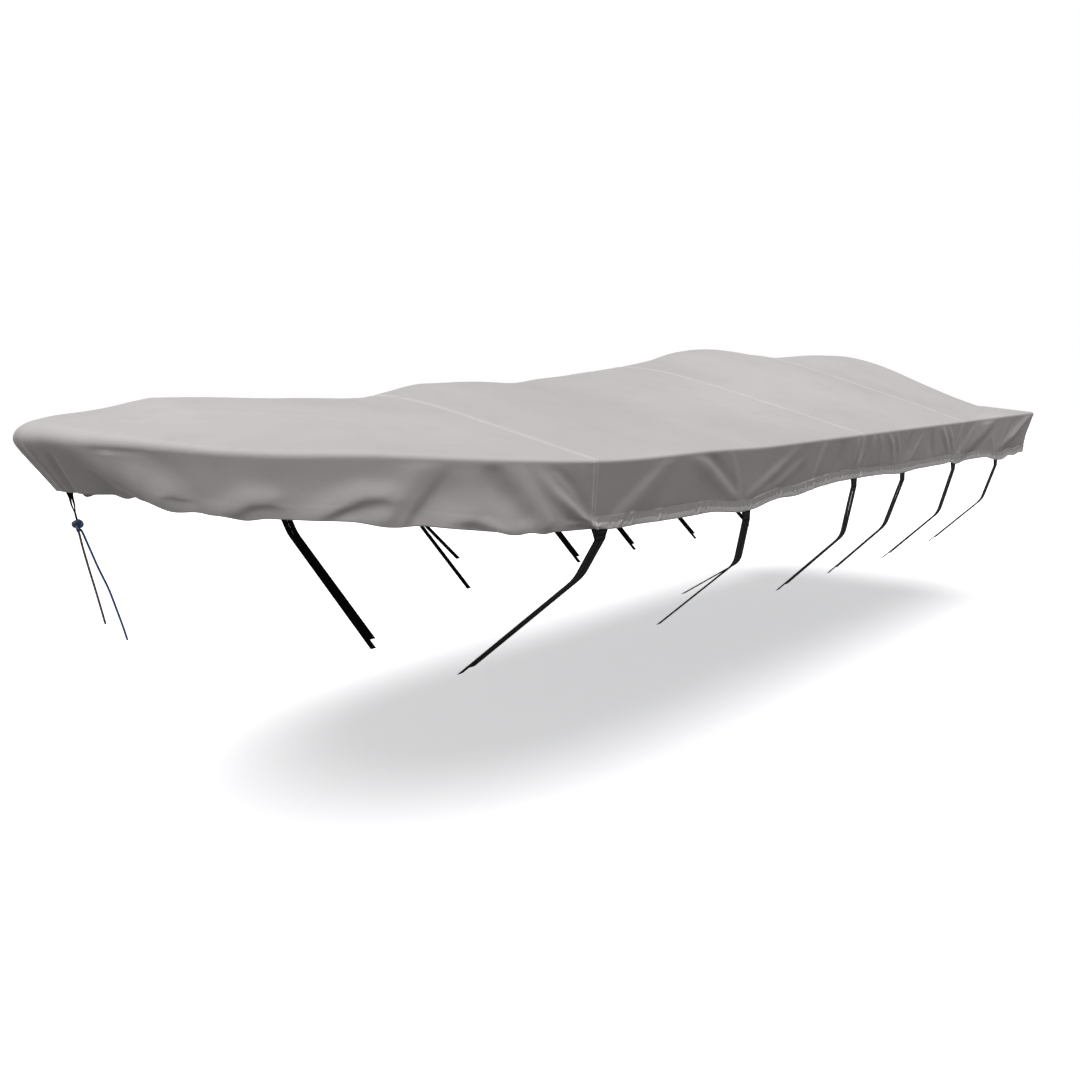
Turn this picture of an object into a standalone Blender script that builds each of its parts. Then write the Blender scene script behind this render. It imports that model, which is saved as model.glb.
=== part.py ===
"""Fitted cover for a 17 ft open V-hull boat, as it sits on the hull.

Metres, +Z up. The bow points to -X, the stern to +X, and port is -Y. The
origin is at gunwale height, near the middle of the boat. The cover is one
skin of four panels, sewn across the boat, hollow below, with webbing ties
along its hem and a cord tie at the bow.
"""
import bpy
import bmesh
import math
from mathutils import Vector

# ------------------------------------------------------------ driving sizes
BOW_TIP = -2.530         # outermost point of the bow edge, along X
STERN = 2.60             # stern edge, along X
HALF_BEAM = 0.96         # half of the widest beam over the cover
BOW_RUN = 1.80           # length over which the bow widens to the full beam
BOW_FULLNESS = 2.6       # how blunt the bow is in plan
BOW_ROUNDNESS = 0.62     # how round its tip is in plan
NOSE_START = 0.006       # first section, measured back from the bow tip

SHEER_START = -0.85      # the gunwale is level aft of here
SHEER_RISE = 0.176       # height that it has gained at the bow tip
SHEER_POWER = 1.7

CLOTH = 0.002            # cloth thickness
CUTTER_REACH = 0.30      # how far the end cutters stand past the cover
SEAM_GAP = 0.0003        # clearance between pieces that touch
EDGE_RADIUS = 0.018      # soft fold where the top turns down into the skirt
BOW_RADIUS = 0.042       # the same at the bow tip, where the turn is broader
BOW_RADIUS_END = -1.00   # it has eased to the other by here
STERN_RAKE = 0.135       # how far forward of its top the stern flap's hem lies
STERN_RAKE_RUN = 0.55    # length of the side skirts that is pulled along with it

SEAMS = (-1.30, 0.36, 1.48)            # cross seams, along X
PANELS = ("cover_bow_panel", "cover_mid_panel", "cover_aft_panel", "cover_stern_panel")
PANEL_SECTIONS = (21, 22, 14, 16)      # sections in each panel
SEAM_CLEAR = 0.036       # the sections on both sides of a seam keep this far from it
BOW_SPACING = 1.9        # how much closer the sections lie at the bow tip
TOP_COLUMNS = 14                       # faces across the top
EDGE_CROWDING = 0.35                   # how much closer they lie near the gunwales
SKIRT_ROWS = 4                         # faces down the skirt
SKIRT_LEAN = 0.030                     # how far the hem lies inside the edge
BOW_LEAN = 0.110                       # the same at the bow's raked front
BOW_LEAN_RUN = 0.30                    # it eases to the skirt's over this length

# The crest of the top: what stands in the boat holds it up off the middle.
# along X, across Y, height
CREST = (
    (-2.530, 0.00, 0.188),
    (-2.46, 0.00, 0.205),
    (-2.38, 0.01, 0.213),
    (-2.29, 0.03, 0.226),
    (-2.20, 0.05, 0.238),
    (-2.05, 0.07, 0.238),
    (-1.80, 0.10, 0.229),
    (-1.36, 0.12, 0.220),
    (-1.18, 0.17, 0.244),
    (-1.00, 0.22, 0.268),
    (-0.75, 0.25, 0.271),
    (-0.48, 0.28, 0.262),
    (-0.25, 0.30, 0.280),
    (0.20, 0.34, 0.315),
    (0.62, 0.38, 0.358),
    (0.95, 0.40, 0.415),
    (1.15, 0.40, 0.428),
    (1.45, 0.37, 0.400),
    (1.72, 0.28, 0.368),
    (2.00, 0.20, 0.390),
    (2.22, 0.12, 0.383),
    (2.38, 0.05, 0.345),
    (2.50, 0.00, 0.240),
    (2.60, 0.00, 0.090),
)
CREST_WIDE_FROM = 0.50   # half beam from which the crest has its full offset

# Flat margin of the top along the gunwale, near the stern.
# along X, width of the flat
MARGIN = (
    (1.50, 0.00),
    (1.90, 0.06),
    (2.30, 0.20),
    (2.60, 0.33),
)
MARGIN_SLOPE = 0.14      # rise of that flat over its width
MARGIN_SAG = 0.25        # how hollow the top is inside the widest flat
ROOF_SWELL = 0.2         # how much the taut top swells above a straight line
ROOF_POWER = 5

# Lower edge of the skirt.
# along X, height
HEM = (
    (-2.530, 0.004),
    (-2.44, -0.006),
    (-2.32, -0.036),
    (-2.20, -0.068),
    (-1.95, -0.098),
    (-1.60, -0.158),
    (-1.30, -0.186),
    (-0.80, -0.200),
    (-0.20, -0.196),
    (0.20, -0.184),
    (0.80, -0.196),
    (1.60, -0.205),
    (2.60, -0.226),
)
# Where a tie or a slack fold pulls the hem down.
# along X, half width, depth
HEM_PULLS = (
    (-1.54, 0.10, 0.012),
    (-0.52, 0.26, 0.024),
    (0.76, 0.20, 0.008),
    (1.42, 0.16, 0.012),
    (2.06, 0.24, 0.026),
)
HEM_CASING = 0.050       # height of the turned hem
HEM_CASING_BULGE = 0.003

# Folds of the skirt. A positive height stands out and a negative one is a
# hollow. The upper end is at the gunwale, the lower one at the hem.
# along X at the top, along X at the hem, half width, height, start, end
PORT_FOLDS = (
    (-1.90, -1.90, 0.420, 0.018, 0.10, 1.00),
    (-2.44, -2.36, 0.050, -0.016, 0.05, 1.00),
    (-2.36, -2.24, 0.055, 0.010, 0.10, 1.00),
    (-2.20, -2.14, 0.080, -0.012, 0.35, 1.00),
    (-2.04, -2.08, 0.090, 0.010, 0.10, 1.00),
    (-1.93, -1.97, 0.070, -0.014, 0.40, 1.00),
    (-1.72, -1.93, 0.070, -0.016, 0.15, 1.00),
    (-1.68, -1.70, 0.075, 0.014, 0.10, 1.00),
    (-1.64, -1.53, 0.060, -0.014, 0.25, 1.00),
    (-1.50, -1.34, 0.060, 0.014, 0.15, 1.00),
    (-0.98, -1.20, 0.070, 0.010, 0.20, 1.00),
    (-0.78, -0.56, 0.060, 0.010, 0.10, 1.00),
    (-0.20, -0.44, 0.060, 0.010, 0.10, 1.00),
    (0.02, -0.10, 0.060, -0.006, 0.15, 1.00),
    (0.30, 0.22, 0.055, 0.006, 0.15, 1.00),
    (0.62, 0.58, 0.060, -0.006, 0.15, 1.00),
    (1.76, 1.52, 0.070, 0.009, 0.10, 1.00),
    (2.48, 2.10, 0.070, 0.012, 0.05, 1.00),
)
STARBOARD_FOLDS = (
    (-1.90, -1.90, 0.420, 0.018, 0.10, 1.00),
    (-2.40, -2.30, 0.060, -0.014, 0.10, 1.00),
    (-2.16, -2.10, 0.080, 0.010, 0.20, 1.00),
    (-1.85, -1.98, 0.080, -0.013, 0.20, 1.00),
    (-1.60, -1.50, 0.070, 0.013, 0.15, 1.00),
    (-0.90, -1.12, 0.070, 0.010, 0.20, 1.00),
    (-0.72, -0.54, 0.060, 0.009, 0.10, 1.00),
    (-0.26, -0.46, 0.060, 0.009, 0.10, 1.00),
    (0.55, 0.66, 0.060, -0.007, 0.15, 1.00),
    (1.62, 1.48, 0.070, 0.009, 0.10, 1.00),
    (2.42, 2.12, 0.070, 0.012, 0.05, 1.00),
)
FOLD_GROWTH = 0.35       # share of the drop over which a fold gains its height
# The same on the stern flap, where the first two columns run across Y.
STERN_FOLDS = (
    (-0.70, -0.52, 0.080, 0.009, 0.10, 1.00),
    (0.05, 0.00, 0.090, -0.008, 0.20, 1.00),
    (0.66, 0.50, 0.080, 0.009, 0.10, 1.00),
)

# Webbing ties. Each is a loop sewn under the hem with two legs of webbing
# side by side, which run down the hull, turn in below its chine and end at
# the trailer's rail.
WEBBING = 0.025          # width of a leg
WEBBING_THICK = 0.0016
LOOP_TOP = 0.056         # width of the sewn loop at the hem
LOOP_FOOT = 0.052
LOOP_DROP = 0.030
LOOP_THICK = 0.003
LEG_PITCH = 0.0262       # distance between the two legs' centre lines
CHINE_BEND = 0.030       # length over which a leg turns below the chine
LEG_STEPS = 4            # sections in that turn
LOOP_GAP = 0.00075       # clearance below the hem, whose edge is not quite straight
LEG_GAP = 0.0007         # clearance below the loop, where the legs lean inward
# along X, chine Y, chine Z, end Y, end Z, second leg's end Y and Z, spread
TIES = (
    (-1.284, 0.832, -0.345, 0.262, -0.757, 0.300, -0.730, 0.000),
    (-0.520, 0.905, -0.412, 0.560, -0.690, 0.660, -0.560, 0.000),
    (0.308, 0.898, -0.428, 0.600, -0.700, 0.630, -0.673, 0.006),
    (0.790, 0.868, -0.450, 0.600, -0.702, 0.630, -0.674, 0.008),
    (1.400, 0.880, -0.460, 0.600, -0.722, 0.630, -0.696, 0.008),
    (2.020, 0.880, -0.460, 0.600, -0.722, 0.630, -0.696, 0.008),
)

# Bow tie: a short webbing loop, a knot and the ends of two cords.
TIE_TOP_Y = -0.012       # where the loop leaves the bow's hem, across Y
TIE_WIDTHS = (0.024, 0.018, 0.007, 0.011, 0.008)
TIE_TWIST = math.radians(150)
TIE_THICK = 0.003
TIE_GAP = -0.0008        # the loop's top against the hem's turned-in edge
KNOT = (-2.431, -0.056, -0.094)
KNOT_SIZE = (0.013, 0.011, 0.016)      # half lengths
CORD_RADIUS = 0.003
FLECKED_CORD = (
    (-2.431, -0.057, -0.1103),
    (-2.430, -0.058, -0.120),
    (-2.425, -0.058, -0.160),
    (-2.415, -0.056, -0.220),
    (-2.404, -0.053, -0.280),
    (-2.394, -0.049, -0.335),
    (-2.386, -0.045, -0.380),
)
BLUE_CORD = (
    (-2.4241, -0.0523, -0.1070),
    (-2.419, -0.050, -0.116),
    (-2.404, -0.042, -0.160),
    (-2.385, -0.036, -0.220),
    (-2.362, -0.030, -0.285),
    (-2.345, -0.022, -0.345),
    (-2.330, -0.014, -0.400),
    (-2.318, -0.006, -0.448),
)
CORD_STEP = 0.016

# -------------------------------------------------------------- colours
CLOTH_GREY = (0.50, 0.48, 0.47, 1.0)
WEBBING_BLACK = (0.015, 0.015, 0.017, 1.0)
CORD_BLUE = (0.06, 0.14, 0.30, 1.0)
CORD_FLECKED = (0.05, 0.05, 0.06, 1.0)


# -------------------------------------------------------------- helpers
def clear_scene():
    for item in list(bpy.data.objects):
        bpy.data.objects.remove(item, do_unlink=True)


def make_material(name, colour, roughness):
    material = bpy.data.materials.new(name)
    material.use_nodes = True
    shader = material.node_tree.nodes["Principled BSDF"]
    shader.inputs["Base Color"].default_value = colour
    shader.inputs["Roughness"].default_value = roughness
    return material


def add_object(name, data, material, collection):
    item = bpy.data.objects.new(name, data)
    item.data.materials.append(material)
    collection.objects.link(item)
    return item


def move_to(item, collection):
    for owner in list(item.users_collection):
        owner.objects.unlink(item)
    collection.objects.link(item)


def grid_mesh(name, rows):
    """A mesh of quads over rows of points of equal length."""
    mesh = bmesh.new()
    points = [[mesh.verts.new(point) for point in row] for row in rows]
    for upper, lower in zip(points, points[1:]):
        for left in range(len(upper) - 1):
            mesh.faces.new((upper[left], lower[left], lower[left + 1], upper[left + 1]))
    bmesh.ops.remove_doubles(mesh, verts=mesh.verts, dist=0.00001)
    data = bpy.data.meshes.new(name)
    mesh.to_mesh(data)
    mesh.free()
    return data


def add_thickness(item, thickness, offset):
    solid = item.modifiers.new("Thickness", "SOLIDIFY")
    solid.thickness = thickness
    solid.offset = offset
    solid.use_even_offset = True


def smooth_curve(rows, column):
    """Monotone curve through one column of a table, by its first column."""
    xs = [row[0] for row in rows]
    ys = [row[column] for row in rows]
    steps = [after - before for before, after in zip(xs, xs[1:])]
    slopes = [(ys[i + 1] - ys[i]) / steps[i] for i in range(len(steps))]
    tangents = [slopes[0]]
    for before, after in zip(slopes, slopes[1:]):
        level = before * after <= 0.0
        tangents.append(0.0 if level else 2.0 * before * after / (before + after))
    tangents.append(slopes[-1])

    def value(x):
        if x <= xs[0]:
            return ys[0]
        if x >= xs[-1]:
            return ys[-1]
        i = max(index for index in range(len(steps)) if xs[index] <= x)
        t = (x - xs[i]) / steps[i]
        start = ys[i] * (1 + 2 * t) * (1 - t) ** 2 + tangents[i] * steps[i] * t * (1 - t) ** 2
        finish = ys[i + 1] * t * t * (3 - 2 * t) + tangents[i + 1] * steps[i] * t * t * (t - 1)
        return start + finish

    return value


def bump(distance, half_width):
    """A smooth swell, 1 in the middle and 0 at its edges."""
    share = abs(distance) / half_width
    return 0.0 if share >= 1.0 else 0.5 + 0.5 * math.cos(math.pi * share)


# -------------------------------------------------------------- the form
crest_y = smooth_curve(CREST, 1)
crest_z = smooth_curve(CREST, 2)
margin_width = smooth_curve(MARGIN, 1)
hem_base = smooth_curve(HEM, 1)


def half_beam(x):
    t = min(max((x - BOW_TIP) / BOW_RUN, 0.0), 1.0)
    return HALF_BEAM * (1.0 - (1.0 - t) ** BOW_FULLNESS) ** BOW_ROUNDNESS


def gunwale_z(x):
    run = SHEER_START - BOW_TIP
    return SHEER_RISE * (max(SHEER_START - x, 0.0) / run) ** SHEER_POWER


def roof(rise):
    """Height of the taut top from the gunwale (0) to the crest (1)."""
    return rise * (1.0 + ROOF_SWELL * (1.0 - rise ** ROOF_POWER))


def top_z(x, across):
    """Height of the top at section x; across runs from -1 at port to 1."""
    beam = half_beam(x)
    middle = crest_y(x) / beam * min(1.0, beam / CREST_WIDE_FROM)
    span = 1.0 + middle if across < middle else 1.0 - middle
    inward = (1.0 + across if across < middle else 1.0 - across) / span
    width = margin_width(x)
    flat = width / (span * beam)
    base = gunwale_z(x) + min(inward * span * beam, width) * MARGIN_SLOPE
    past = max(inward - flat, 0.0) / (1.0 - flat)
    sag = MARGIN_SAG * width / MARGIN[-1][1]
    rise = crest_z(x) - gunwale_z(x) - width * MARGIN_SLOPE
    return base + rise * roof(past * (1.0 - sag * (1.0 - past)))


def hem_z(x):
    pull = sum(depth * bump(x - centre, width) for centre, width, depth in HEM_PULLS)
    return hem_base(x) - pull


def edge_radius(x):
    share = max(BOW_RADIUS_END - x, 0.0) / (BOW_RADIUS_END - BOW_TIP)
    return EDGE_RADIUS + (BOW_RADIUS - EDGE_RADIUS) * share


def rake(x):
    share = max(1.0 - (STERN - x) / STERN_RAKE_RUN, 0.0)
    return STERN_RAKE * share * share


def lean(x):
    nose = max(1.0 - (x - BOW_TIP) / BOW_LEAN_RUN, 0.0)
    return SKIRT_LEAN + (BOW_LEAN - SKIRT_LEAN) * nose


def fold_height(along, down, folds):
    """How far the skirt stands out at a place and a share of its drop."""
    total = 0.0
    for top, foot, half_width, height, start, end in folds:
        if start < down <= end:
            grown = min((down - start) / FOLD_GROWTH, 1.0)
            centre = top + (foot - top) * down
            total += height * grown * bump(along - centre, half_width)
    return total


def panel_sections(index):
    """The sections of one panel, which keep half a step away from its seams."""
    count = PANEL_SECTIONS[index]
    if index == 0:
        fore = BOW_TIP + NOSE_START
        aft = SEAMS[0] - SEAM_CLEAR
        return [fore + (aft - fore) * (i / (count - 1)) ** BOW_SPACING for i in range(count)]
    fore = SEAMS[index - 1] + SEAM_CLEAR
    aft = STERN if index == len(SEAMS) else SEAMS[index] - SEAM_CLEAR
    return [fore + (aft - fore) * i / (count - 1) for i in range(count)]


def all_sections():
    places = []
    for index in range(len(PANELS)):
        places += panel_sections(index)
    return places


def outward(x, side):
    """Plan direction square to the gunwale at section x."""
    step = 0.002
    slope = (half_beam(x + step) - half_beam(max(x - step, BOW_TIP + 0.0005))) / (2 * step)
    return Vector((-slope, side, 0.0)).normalized()


def skirt_column(edge, out, lower, inset, along, folds, radius):
    """Points from the top's edge, round the fold and down to the hem."""
    points = []
    for turn in (0.5, 1.0):
        angle = turn * math.pi / 2
        inner = radius * (1.0 - math.sin(angle))
        drop = radius * (1.0 - math.cos(angle))
        points.append(edge - out * inner - Vector((0, 0, drop)))
    start = edge.z - radius
    casing = HEM_CASING / (start - lower)
    levels = [(1.0 - casing) * (row + 1) / (SKIRT_ROWS - 1) for row in range(SKIRT_ROWS - 1)]
    for down in levels + [1.0]:
        bulge = HEM_CASING_BULGE if down >= 1.0 - casing - 0.001 else 0.0
        stand = fold_height(along, down, folds) + bulge - inset * down
        point = edge + out * stand
        point.z = start + (lower - start) * down
        points.append(point)
    return points


def side_skirt(x, side):
    """Points down one side's skirt, which the stern flap pulls forward."""
    folds = PORT_FOLDS if side < 0 else STARBOARD_FOLDS
    edge = Vector((x, side * half_beam(x), gunwale_z(x)))
    radius = edge_radius(x)
    points = skirt_column(edge, outward(x, side), hem_z(x), lean(x), x, folds, radius)
    top = edge.z - radius
    for point in points[2:]:
        point.x -= rake(x) * (top - point.z) / (top - points[-1].z)
    return points


def top_row(x):
    """Points across the top between the two folded edges."""
    ends = []
    for side in (-1, 1):
        edge = Vector((x, side * half_beam(x), gunwale_z(x)))
        ends.append(edge - outward(x, side) * edge_radius(x))
    row = []
    for column in range(TOP_COLUMNS + 1):
        share = column / TOP_COLUMNS
        even = 2.0 * share - 1.0
        across = even + (-math.cos(math.pi * share) - even) * EDGE_CROWDING
        place = ends[0].lerp(ends[1], (across + 1.0) / 2.0)
        place.z = top_z(x, across)
        row.append(place)
    return row


def section_row(x):
    """Points across the cover, from the port hem to the starboard hem."""
    return list(reversed(side_skirt(x, -1))) + top_row(x) + side_skirt(x, 1)


def build_skin():
    """The whole cover as one open sheet, before it is cut into panels."""
    mesh = bmesh.new()
    grid = [[mesh.verts.new(point) for point in section_row(x)] for x in all_sections()]
    for fore, aft in zip(grid, grid[1:]):
        for i in range(len(fore) - 1):
            mesh.faces.new((fore[i], aft[i], aft[i + 1], fore[i + 1]))
    close_end(mesh, grid[0], True)
    close_end(mesh, grid[-1], False)
    bmesh.ops.recalc_face_normals(mesh, faces=mesh.faces)
    crown = max(mesh.faces, key=lambda face: face.calc_center_median().z)
    if crown.normal.z < 0:
        bmesh.ops.reverse_faces(mesh, faces=mesh.faces)
    data = bpy.data.meshes.new("cover_skin")
    mesh.to_mesh(data)
    mesh.free()
    data.shade_smooth()
    return data


def build_panel(index, skin, material, collection, cutters):
    """One panel: the skin with its thickness, kept between two seams."""
    fore = BOW_TIP - CUTTER_REACH if index == 0 else SEAMS[index - 1] + SEAM_GAP / 2
    aft = STERN + CUTTER_REACH if index == len(SEAMS) else SEAMS[index] - SEAM_GAP / 2
    bpy.ops.mesh.primitive_cube_add(size=1.0, location=((fore + aft) / 2, 0.0, 0.0))
    cutter = bpy.context.object
    cutter.name = PANELS[index] + "_cutter"
    cutter.scale = (aft - fore, 4.0 * HALF_BEAM, 4.0 * HALF_BEAM)
    cutter.hide_render = True
    cutter.display_type = "WIRE"
    move_to(cutter, cutters)
    panel = add_object(PANELS[index], skin.copy(), material, collection)
    add_thickness(panel, CLOTH, -1.0)
    cut = panel.modifiers.new("Panel", "BOOLEAN")
    cut.operation = "INTERSECT"
    cut.object = cutter


def close_end(mesh, ring, bow):
    """The skirt across the bow's front or the stern, down to the hem."""
    skirt = SKIRT_ROWS + 2
    top = ring[skirt:-skirt]
    x = BOW_TIP if bow else STERN + EDGE_RADIUS
    out = Vector((-1.0 if bow else 1.0, 0.0, 0.0))
    lower = hem_z(BOW_TIP if bow else STERN)
    inset = BOW_LEAN if bow else STERN_RAKE
    radius = BOW_RADIUS if bow else EDGE_RADIUS
    folds = () if bow else STERN_FOLDS
    columns = [list(reversed(ring[:skirt]))]
    for vert in top[1:-1]:
        edge = Vector((x, vert.co.y, vert.co.z))
        points = skirt_column(edge, out, lower, inset, vert.co.y, folds, radius)
        columns.append([mesh.verts.new(point) for point in points])
    columns.append(ring[-skirt:])
    for j in range(len(columns) - 1):
        left = [top[j]] + columns[j]
        right = [top[j + 1]] + columns[j + 1]
        for k in range(len(left) - 1):
            mesh.faces.new((left[k], left[k + 1], right[k + 1], right[k]))


# -------------------------------------------------------------- the ties
def hem_edge(x, side):
    """The hem's lower edge as built, straight between the sections."""
    places = all_sections()
    after = next(i for i, place in enumerate(places) if place > x)
    ends = [side_skirt(places[i], side)[-1] for i in (after - 1, after)]
    share = (x - places[after - 1]) / (places[after] - places[after - 1])
    return ends[0].lerp(ends[1], min(max(share, 0.0), 1.0))


def leg_path(top, chine, end):
    """A taut run to the chine, a short turn and a taut run to the end."""
    first = (chine - top).normalized()
    second = (end - chine).normalized()
    points = [top, top.lerp(chine, 0.4)]
    for step in range(LEG_STEPS + 1):
        t = step / LEG_STEPS
        before = chine - first * CHINE_BEND * (1 - t)
        after = chine + second * CHINE_BEND * t
        points.append(before.lerp(after, t))
    points.append(chine.lerp(end, 0.55))
    points.append(end)
    return points


def ribbon(name, centres, material, collection):
    """A strip of webbing that is level across, along X."""
    half = Vector((WEBBING / 2, 0, 0))
    rows = [[centre - half, centre + half] for centre in centres]
    strip = add_object(name, grid_mesh(name, rows), material, collection)
    add_thickness(strip, WEBBING_THICK, 0.0)


def build_tie(number, side, row, material, collection):
    """One hem loop and its two legs, on one side of the boat."""
    x, chine_y, chine_z, end_y, end_z, short_y, short_z, spread = row
    label = ("port" if side < 0 else "starboard") + "_tie_%d" % number
    hem = [hem_edge(x + share * LOOP_TOP / 2, side) for share in (-1.0, 0.0, 1.0)]
    sag = max((hem[0].z + hem[2].z) / 2 - hem[1].z, 0.0)
    below = Vector((0, -side * CLOTH / 2, -LOOP_GAP - sag))
    foot = hem[1] + below - Vector((0, 0, LOOP_DROP))
    half = Vector((LOOP_FOOT / 2, 0, 0))
    rows = [[hem[0] + below, hem[2] + below], [foot - half, foot + half]]
    loop = add_object(label + "_loop", grid_mesh(label + "_loop", rows), material, collection)
    add_thickness(loop, LOOP_THICK, 0.0)
    start = foot - Vector((0, 0, LEG_GAP))
    ends = ((end_y, end_z), (short_y, short_z))
    for letter, shift, (y, z) in zip("ab", (-0.5, 0.5), ends):
        offset = Vector((shift * LEG_PITCH, 0, 0))
        chine = Vector((x, side * chine_y, chine_z)) + offset
        path = leg_path(start + offset, chine, Vector((x, side * y, z)) + offset)
        path[1].x += 2 * shift * spread
        ribbon("%s_leg_%s" % (label, letter), path, material, collection)


# -------------------------------------------------------------- the bow tie
def spline_points(route, step):
    """Points a step apart on a smooth curve through the route's points."""
    knots = [Vector(point) for point in route]
    padded = [knots[0] * 2 - knots[1]] + knots + [knots[-1] * 2 - knots[-2]]
    points = [knots[0]]
    for a, b, c, d in zip(padded, padded[1:], padded[2:], padded[3:]):
        pieces = max(1, round((c - b).length / step))
        for piece in range(1, pieces + 1):
            t = piece / pieces
            points.append(0.5 * (2 * b + (c - a) * t + (2 * a - 5 * b + 4 * c - d) * t * t
                                 + (3 * b - 3 * c + d - a) * t ** 3))
    return points


def build_cord(name, route, material, collection):
    points = spline_points(route, CORD_STEP)
    curve = bpy.data.curves.new(name, "CURVE")
    curve.dimensions = "3D"
    curve.bevel_depth = CORD_RADIUS
    curve.bevel_resolution = 2
    curve.use_fill_caps = True
    spline = curve.splines.new("POLY")
    spline.points.add(len(points) - 1)
    for knot, point in zip(spline.points, points):
        knot.co = (point.x, point.y, point.z, 1.0)
    add_object(name, curve, material, collection)


def build_bow_tie(webbing, flecked, blue, collection):
    knot = Vector(KNOT)
    top = Vector((BOW_TIP + BOW_LEAN + CLOTH, TIE_TOP_Y, hem_z(BOW_TIP) - TIE_GAP))
    foot = knot + Vector((0, 0, KNOT_SIZE[2] + SEAM_GAP))
    rows = []
    last = len(TIE_WIDTHS) - 1
    for i, width in enumerate(TIE_WIDTHS):
        centre = top.lerp(foot, i / last)
        turn = math.pi / 2 + TIE_TWIST * (i / last)
        across = Vector((math.cos(turn), math.sin(turn), 0)) * width / 2
        rows.append([centre - across, centre + across])
    loop = add_object("bow_tie_loop", grid_mesh("bow_tie_loop", rows), webbing, collection)
    add_thickness(loop, TIE_THICK, 0.0)

    bpy.ops.mesh.primitive_uv_sphere_add(segments=12, ring_count=8, radius=1.0, location=knot)
    ball = bpy.context.object
    ball.name = "bow_tie_knot"
    ball.data.name = "bow_tie_knot"
    ball.scale = KNOT_SIZE
    ball.data.materials.append(webbing)
    ball.data.shade_smooth()
    move_to(ball, collection)

    build_cord("bow_tie_flecked_cord", FLECKED_CORD, flecked, collection)
    build_cord("bow_tie_blue_cord", BLUE_CORD, blue, collection)


def main():
    clear_scene()
    collection = bpy.data.collections.new("boat_cover")
    cutters = bpy.data.collections.new("cutters")
    bpy.context.scene.collection.children.link(collection)
    bpy.context.scene.collection.children.link(cutters)
    cloth = make_material("cover_cloth", CLOTH_GREY, 0.85)
    webbing = make_material("webbing", WEBBING_BLACK, 0.7)
    flecked = make_material("flecked_cord", CORD_FLECKED, 0.7)
    blue = make_material("blue_cord", CORD_BLUE, 0.6)
    skin = build_skin()
    for index in range(len(PANELS)):
        build_panel(index, skin, cloth, collection, cutters)
    for side in (-1, 1):
        for number, row in enumerate(TIES, start=1):
            build_tie(number, side, row, webbing, collection)
    build_bow_tie(webbing, flecked, blue, collection)


main()
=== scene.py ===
"""Dresses a fitted boat cover: its cloth, seams, hem, webbing ties and bow tie.

Metres, +Z up. The bow points to -X, the stern to +X, and port is -Y. The
cloth is laid over the same forms as the solids and carries their folds.
"""
import functools
import math

import bpy
import numpy as np
from bpy.props import FloatProperty, FloatVectorProperty, PointerProperty
from mathutils import Matrix, Vector


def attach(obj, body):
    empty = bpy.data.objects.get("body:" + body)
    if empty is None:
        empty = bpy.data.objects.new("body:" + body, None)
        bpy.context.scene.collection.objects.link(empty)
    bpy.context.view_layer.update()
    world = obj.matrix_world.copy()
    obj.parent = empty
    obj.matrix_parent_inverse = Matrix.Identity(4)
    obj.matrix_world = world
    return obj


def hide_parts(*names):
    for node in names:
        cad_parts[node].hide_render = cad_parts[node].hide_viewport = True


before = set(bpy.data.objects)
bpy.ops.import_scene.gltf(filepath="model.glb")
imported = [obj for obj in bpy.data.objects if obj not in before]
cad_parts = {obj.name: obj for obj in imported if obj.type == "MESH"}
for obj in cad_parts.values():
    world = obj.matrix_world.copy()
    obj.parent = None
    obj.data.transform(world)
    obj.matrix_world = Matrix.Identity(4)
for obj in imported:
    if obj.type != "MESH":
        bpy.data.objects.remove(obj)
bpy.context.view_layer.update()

bl_info = {
    "name": "Boat Cover",
    "version": (1, 0, 0),
    "blender": (4, 5, 0),
    "location": "3D View > Sidebar > Boat Cover",
    "description": "Cloth, seams, webbing and cords of a fitted boat cover",
    "category": "Object",
}

# ------------------------------------------------------------ the cover's form
BOW_TIP = -2.53
STERN = 2.6
HALF_BEAM = 0.96
BOW_RUN = 1.8
BOW_FULLNESS = 2.6
BOW_ROUNDNESS = 0.62
NOSE_START = 0.006
SHEER_START = -0.85
SHEER_RISE = 0.176
SHEER_POWER = 1.72
EDGE_RADIUS = 0.011
# along X, half width, height of small rises and dips of the gunwale
SHEER_WAVES = ((-2.52, 0.09, 0.008), (-2.21, 0.33, -0.015), (-0.85, 0.5, 0.011))
# along X, radius of the fold over the gunwale
EDGE_RADII = (
    (-2.53, 0.04), (-2.46, 0.036), (-2.36, 0.028), (-2.2, 0.023), (-1.9, 0.019), (-1.6, 0.014),
    (-1.3, 0.011), (2.6, 0.011),
)
STERN_RAKE = 0.135
STERN_RAKE_RUN = 0.55
# along X, how far the hem lies inside the gunwale
LEAN = (
    (-2.53, 0.09), (-2.47, 0.089), (-2.42, 0.072), (-2.36, 0.042), (-2.28, 0.022), (-2.1, 0.01),
    (-1.85, -0.002), (-1.6, -0.008), (-1.45, 0.0), (-1.32, 0.024), (-1.2, 0.03), (2.6, 0.03),
)
BOW_LEAN = LEAN[0][1]
BOW_RADIUS = EDGE_RADII[0][1]
SEAMS = (-1.3, 0.36, 1.48)
PANELS = ("cover_bow_panel", "cover_mid_panel", "cover_aft_panel", "cover_stern_panel")

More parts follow.
